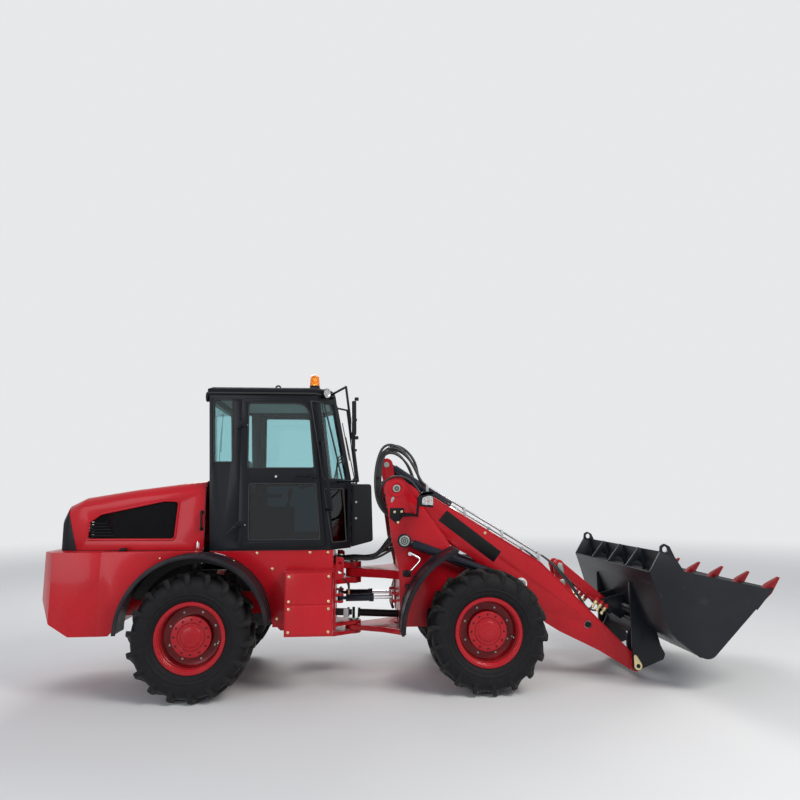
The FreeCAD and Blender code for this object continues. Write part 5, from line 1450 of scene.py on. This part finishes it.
def fender_details():
    """Rounded rubber ends on the front fender, and its bent chrome stay."""
    roll = [(0, -205), (10, -205), (17, -198), (17, 198), (10, 205), (0, 205)]
    foot = [(0, 0), (17, 0), (19, 4), (19, 16), (14, 20), (0, 20)]
    for side, name in SIDES:
        edges = []
        for start in (180, 111):
            angle = math.radians(start)
            centre = spot(FRONT_AXLE_X + 833 * math.cos(angle), side * 767, AXLE_Z + 833 * math.sin(angle))
            edges.append(turned(roll, centre, out(1), 20))
        dress(edges, "fender_ends_" + name, "seal", "front_frame")
        stay = [bar([(680, side * 470, 1308), (681, side * 560, 1310), (690, side * 610, 1316),
                     (797, side * 628, 1253), (700, side * 622, 1150), (660, side * 600, 1120)], 10, 30),
                turned(foot, spot(680, side * 600, 1308), out(side), 20)]
        dress(stay, "fender_stay_" + name, "chrome", "front_frame")
        clamp = [slab((610, side * 590 - 40, 1080), (690, side * 590 + 40, 1142), 8),
                 turned([(0, 0), (20, 0), (22, 6), (22, 40), (16, 46), (0, 46)], spot(660, side * 625, 1118),
                        out(side), 24)]
        dress(clamp, "stay_clamp_" + name, "black", "front_frame")


# Boom and bucket

def boom_details():
    """Stripe, weld beads, plugs, pin washers, caps and keepers along the boom."""
    washers = []
    straps = []
    caps = []
    plugs = []
    rows = []
    heads = []
    for side, name in SIDES:
        stripe = between_faces([(1098, 1741, 6), (1675, 1304, 6), (1591, 1194, 6), (1005, 1635, 6)],
                               side * BOOM_FACE, side * (BOOM_FACE + 1.2), 0.4)
        dress(stripe, "boom_stripe_" + name, "film", "boom")
        washers.append(washer_stack(LIFT_HEAD[0], side * 535, LIFT_HEAD[1], side, 30))
        straps.append(tear(HITCH_PIN, side * 480, side, (-26, 96), 42, 17))
        rows.append((HITCH_PIN[0] - 26, side * 488, HITCH_PIN[1] + 96, out(side), 11))
        caps.append(turned([(0, 0), (20, 0), (22, 3), (22, 8), (12, 12), (0, 12)],
                           spot(HITCH_PIN[0], side * 480, HITCH_PIN[1]), out(side), 32))
        plugs.append(turned([(0, 0), (30, 0), (32, 2), (32, 5), (26, 8), (20, 4), (0, 4)],
                            spot(ROCKER_PIN[0], side * 407, ROCKER_PIN[1]), out(side), 36))
        heads.append((1506, side * BOOM_FACE, 1498, out(side), 11))
        seam = ((820, 1920), (948, 1880), (2092, 1187), (2320, 970), (3000, 290))
        bead = swept([spot(x, side * (BOOM_FACE - 1), z) for x, z in seam], 6, sides=8)
        dress(bead, "boom_edge_weld_" + name, "arm", "boom")
    dress(washers, "lift_pin_washers", "steel", "boom")
    dress(plugs, "rocker_shaft_caps", "black", "boom")
    dress(caps, "hitch_pin_caps", "black", "hitch_pins")
    dress(straps, "hitch_pin_keepers", "zinc", "bucket")
    bolts("hitch_keeper_bolts", "zinc", "bucket", rows)
    bolts("boom_plugs", "zinc", "boom", heads)


def rocker_details():
    """Pin heads at the rocker's eyes, with a tear-shaped keeper at the upper one."""
    heads = {"tilt": [], "link": []}
    keepers = []
    for side in (-1, 1):
        for name, point, level, radius in (("tilt", TILT_HEAD, 90, 36), ("link", ROCKER_TOP, 133, 28)):
            profile = [(0, 0), (radius, 0), (radius + 2, 3), (radius + 2, 8), (radius - 6, 11), (0, 11)]
            heads[name].append(turned(profile, spot(point[0], side * level, point[1]), out(side), 32))
        keepers.append(tear(ROCKER_TOP, side * 142, side, (30, -84), 30, 14, 6))
    dress(heads["tilt"], "tilt_pin_heads", "steel", "rocker")
    dress(heads["link"] + keepers, "link_pin_heads", "steel", "link_pin")


def coupler_place(side, index, z=700):
    """Place of a coupler on its rail, counted from the tower's end. z is the first one's."""
    return (2672 + index * 50, side * (318 - index * 6), z - index * 36)


def couplers():
    """Quick couplers with red dust caps at the boom's tip, on their rail, and the hoses that feed them."""
    sleeve = [(0, 0), (15, 0), (17, 4), (17, 24), (13, 28), (13, 52), (21, 55), (21, 84), (17, 88), (0, 88)]
    cap = [(0, 86), (23, 88), (24, 92), (24, 112), (20, 118), (8, 120), (8, 132), (0, 133)]
    way = Vector((0.62, 0, 0.78)).normalized()
    feet = [spot(*coupler_place(side, index)) for side in (-1, 1) for index in range(3)]
    for name, look, profile in (("quick_couplers", "zinc", sleeve), ("coupler_caps", "arm", cap)):
        dress([turned(profile, foot, way, 24) for foot in feet], name, look, "boom")
    for side, name in SIDES:
        for index, bow in enumerate((0, 34)):
            piece = hose([(2128, side * 341, 1258), (2200, side * 341, 1214), (2330, side * 338, 1070 + bow),
                          (2470, side * 334, 900 + bow), (2590, side * 326, 720), (2640, side * 318, 672),
                          coupler_place(side, index, 704)], 10, 10)
            dress(piece, "tip_hose_%s_%d" % (name, index), "hose", "boom")


def bucket_details():
    """Wear strips, weld beads along the sheet's corners, tooth bolts and ear rings."""
    rows = [(x, y + side * 34, z, out(side), 9) for y in range(-980, 981, 490)
            for x, z in ((4166, 898), (4210, 932)) for side in (1, -1)]
    bolts("tooth_bolts", "steel", "bucket", rows)
    seam = ((4200, 940), (3600, 372), (3540, 330), (3460, 345), (3235, 520), (3170, 600), (3062, 1010))
    beads = [swept([spot(x, side * 1026, z) for x, z in seam], 8, sides=8) for side in (-1, 1)]
    dress(beads, "bucket_welds", "bucket", "bucket")
    ring = [(30, -4), (44, -4), (46, 0), (46, 22), (44, 26), (30, 26), (30, -4)]
    rings = [turned(ring, spot(3166, side * 1024, 1366), out(side), 32) for side in (-1, 1)]
    dress(rings, "bucket_ear_rings", "bucket", "bucket")
    section = ((3560, 295), (4060, 774), (4056, 786), (3556, 307))
    strips = [lofted([[spot(x, y + across, z) for x, z in section] for across in (-30, 30)], 2)
              for y in (-735, -245, 245, 735)]
    dress(strips, "bucket_wear_strips", "steel", "bucket")


def valve_block():
    """Control valve on the tower's back plate, where the hoses start."""
    dress(slab((600, -380, 1600), (660, 380, 1672), 6), "control_valve", "black", "front_frame")


def steer_hoses():
    """Hoses from the rear frame to the steering cylinders' ports."""
    for side, name in SIDES:
        points = [(60, side * 197, 905), (60, side * 200, 960), (20, side * 230, 1010),
                  (-30, side * 250, 1050), (-72, side * 260, 1060)]
        piece = dress(hose(points, 9, 10), "steer_hose_" + name, "hose", "steer_barrel_" + name)
        piece.parent = None
        spot(-50, side * 250, 1040)
        spot(55, side * 200, 930)
        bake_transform(piece)


# Stage, light and camera

STUDIO = (0.80, 0.81, 0.82, 1)


def reckoned(tree, operation, first, second):
    """Output of a Math node that two sockets feed."""
    node = tree.nodes.new("ShaderNodeMath")
    node.operation = operation
    tree.links.new(first, node.inputs[0])
    tree.links.new(second, node.inputs[1])
    return node.outputs[0]


def pale_where_seen(tree, shader, far=None):
    """Mixes in the studio's plain tone for rays from the camera, and for those off metal and through glass.

    far, from 0 to 1, is how much of the tone the camera itself sees. Without far it sees all of it.
    """
    pale = tree.nodes.new("ShaderNodeEmission")
    pale.inputs["Color"].default_value = STUDIO
    path = tree.nodes.new("ShaderNodeLightPath")
    share = path.outputs["Is Camera Ray"]
    if far is not None:
        share = reckoned(tree, "MULTIPLY", share, far)
    for kind in ("Is Transmission Ray", "Is Glossy Ray"):
        share = reckoned(tree, "MAXIMUM", share, path.outputs[kind])
    mix = tree.nodes.new("ShaderNodeMixShader")
    tree.links.new(share, mix.inputs[0])
    tree.links.new(shader, mix.inputs[1])
    tree.links.new(pale.outputs[0], mix.inputs[2])
    return mix.outputs[0]


def stage():
    """Pale floor that keeps the shadow near the machine and fades into the backdrop's tone."""
    floor = Finish("studio_floor", "black_plastic", Specular_IOR_Level=0.1)
    floor.colour(floor.mix(floor.noise(0.8, 3.0), (0.66, 0.665, 0.67, 1), (0.70, 0.705, 0.71, 1)))
    floor.roughness(0.8 + floor.noise(3, 2.0) * 0.1)
    distance = (floor.along("X") ** 2 + floor.along("Y") ** 2) ** 0.5
    far = distance.between(5.0, 26.0)
    surface = pale_where_seen(floor.tree, floor.shader.outputs[0], far.socket)
    floor.tree.links.new(surface, floor.tree.nodes["Material Output"].inputs["Surface"])
    bpy.ops.object.select_all(action="DESELECT")
    bpy.ops.mesh.primitive_plane_add(size=120, location=(0, 0, -0.0005))
    ground = current()
    ground.name = "studio_ground"
    ground.data.materials.append(floor.material)
    world = bpy.data.worlds.new("studio_world")
    bpy.context.scene.world = world
    world.use_nodes = True
    tree = world.node_tree
    light = tree.nodes["Background"]
    light.inputs["Color"].default_value = (0.88, 0.92, 1.0, 1)
    light.inputs["Strength"].default_value = 0.5
    surface = pale_where_seen(tree, light.outputs[0])
    tree.links.new(surface, tree.nodes["World Output"].inputs["Surface"])


def lamp(name, place, target, size, power, colour):
    bpy.ops.object.light_add(type="AREA", location=place)
    light = current()
    light.name = name
    light.data.size = size
    light.data.energy = power
    light.data.color = colour
    light.rotation_euler = (Vector(target) - Vector(place)).to_track_quat("-Z", "Y").to_euler()


def lights():
    lamp("key_light", (6, -7, 9), (0, 0, 1.2), 5, 900, (1, 0.97, 0.92))
    lamp("fill_light", (-7, -9, 4), (-0.5, 0, 1.2), 6, 320, (0.92, 0.96, 1))
    lamp("rim_light", (-2, 8, 8), (0, 0, 1.5), 5, 600, (1, 0.98, 0.95))


CAMERA_PLACE = (0.0759 - ORIGIN_X / 1000, -7.2619, 1.9065)
CAMERA_TURNS = (4.367, 8.454, -0.162)
FOCAL_PIXELS = 637.38
PICTURE_PIXELS = 800
SENSOR_WIDTH = 36


def camera():
    """Where the photograph was taken from: eye height, on the machine's right, looking a little up."""
    yaw, pitch, roll = (math.radians(turn) for turn in CAMERA_TURNS)
    ahead = Vector((math.sin(yaw) * math.cos(pitch), math.cos(yaw) * math.cos(pitch), math.sin(pitch)))
    right = Vector((math.cos(yaw), -math.sin(yaw), 0))
    up = right.cross(ahead)
    across = right * math.cos(roll) + up * math.sin(roll)
    above = up * math.cos(roll) - right * math.sin(roll)
    bpy.ops.object.camera_add(location=(0, 0, 0))
    view = current()
    view.name = "photo_camera"
    turn = Matrix((across, above, -ahead)).transposed().to_4x4()
    view.matrix_world = Matrix.Translation(CAMERA_PLACE) @ turn
    view.data.sensor_width = SENSOR_WIDTH
    view.data.lens = SENSOR_WIDTH * FOCAL_PIXELS / PICTURE_PIXELS
    bpy.context.scene.camera = view


camera()
stage()
lights()
construction()
wheels()
hood_details()
hood_cap()
tail_lamps()
counterweight_details()
rear_fender_details()
fender_liners()
toolbox_details()
step_details()
door_details()
cab_seals()
wipers()
roof_details()
beacon()
work_lamps()
mirror_details()
front_box_details()
seat()
cab_inside()
joint_hoses()
pivot_details()
tower_details()
hose_loops()
for lamp_side, lamp_name in SIDES:
    head_lamp(lamp_side, lamp_name)
fender_details()
boom_details()
rocker_details()
couplers()
bucket_details()
valve_block()
steer_hoses()
for head in HEADS.values():
    bpy.data.objects.remove(head)
bpy.context.scene.view_settings.view_transform = "Standard"
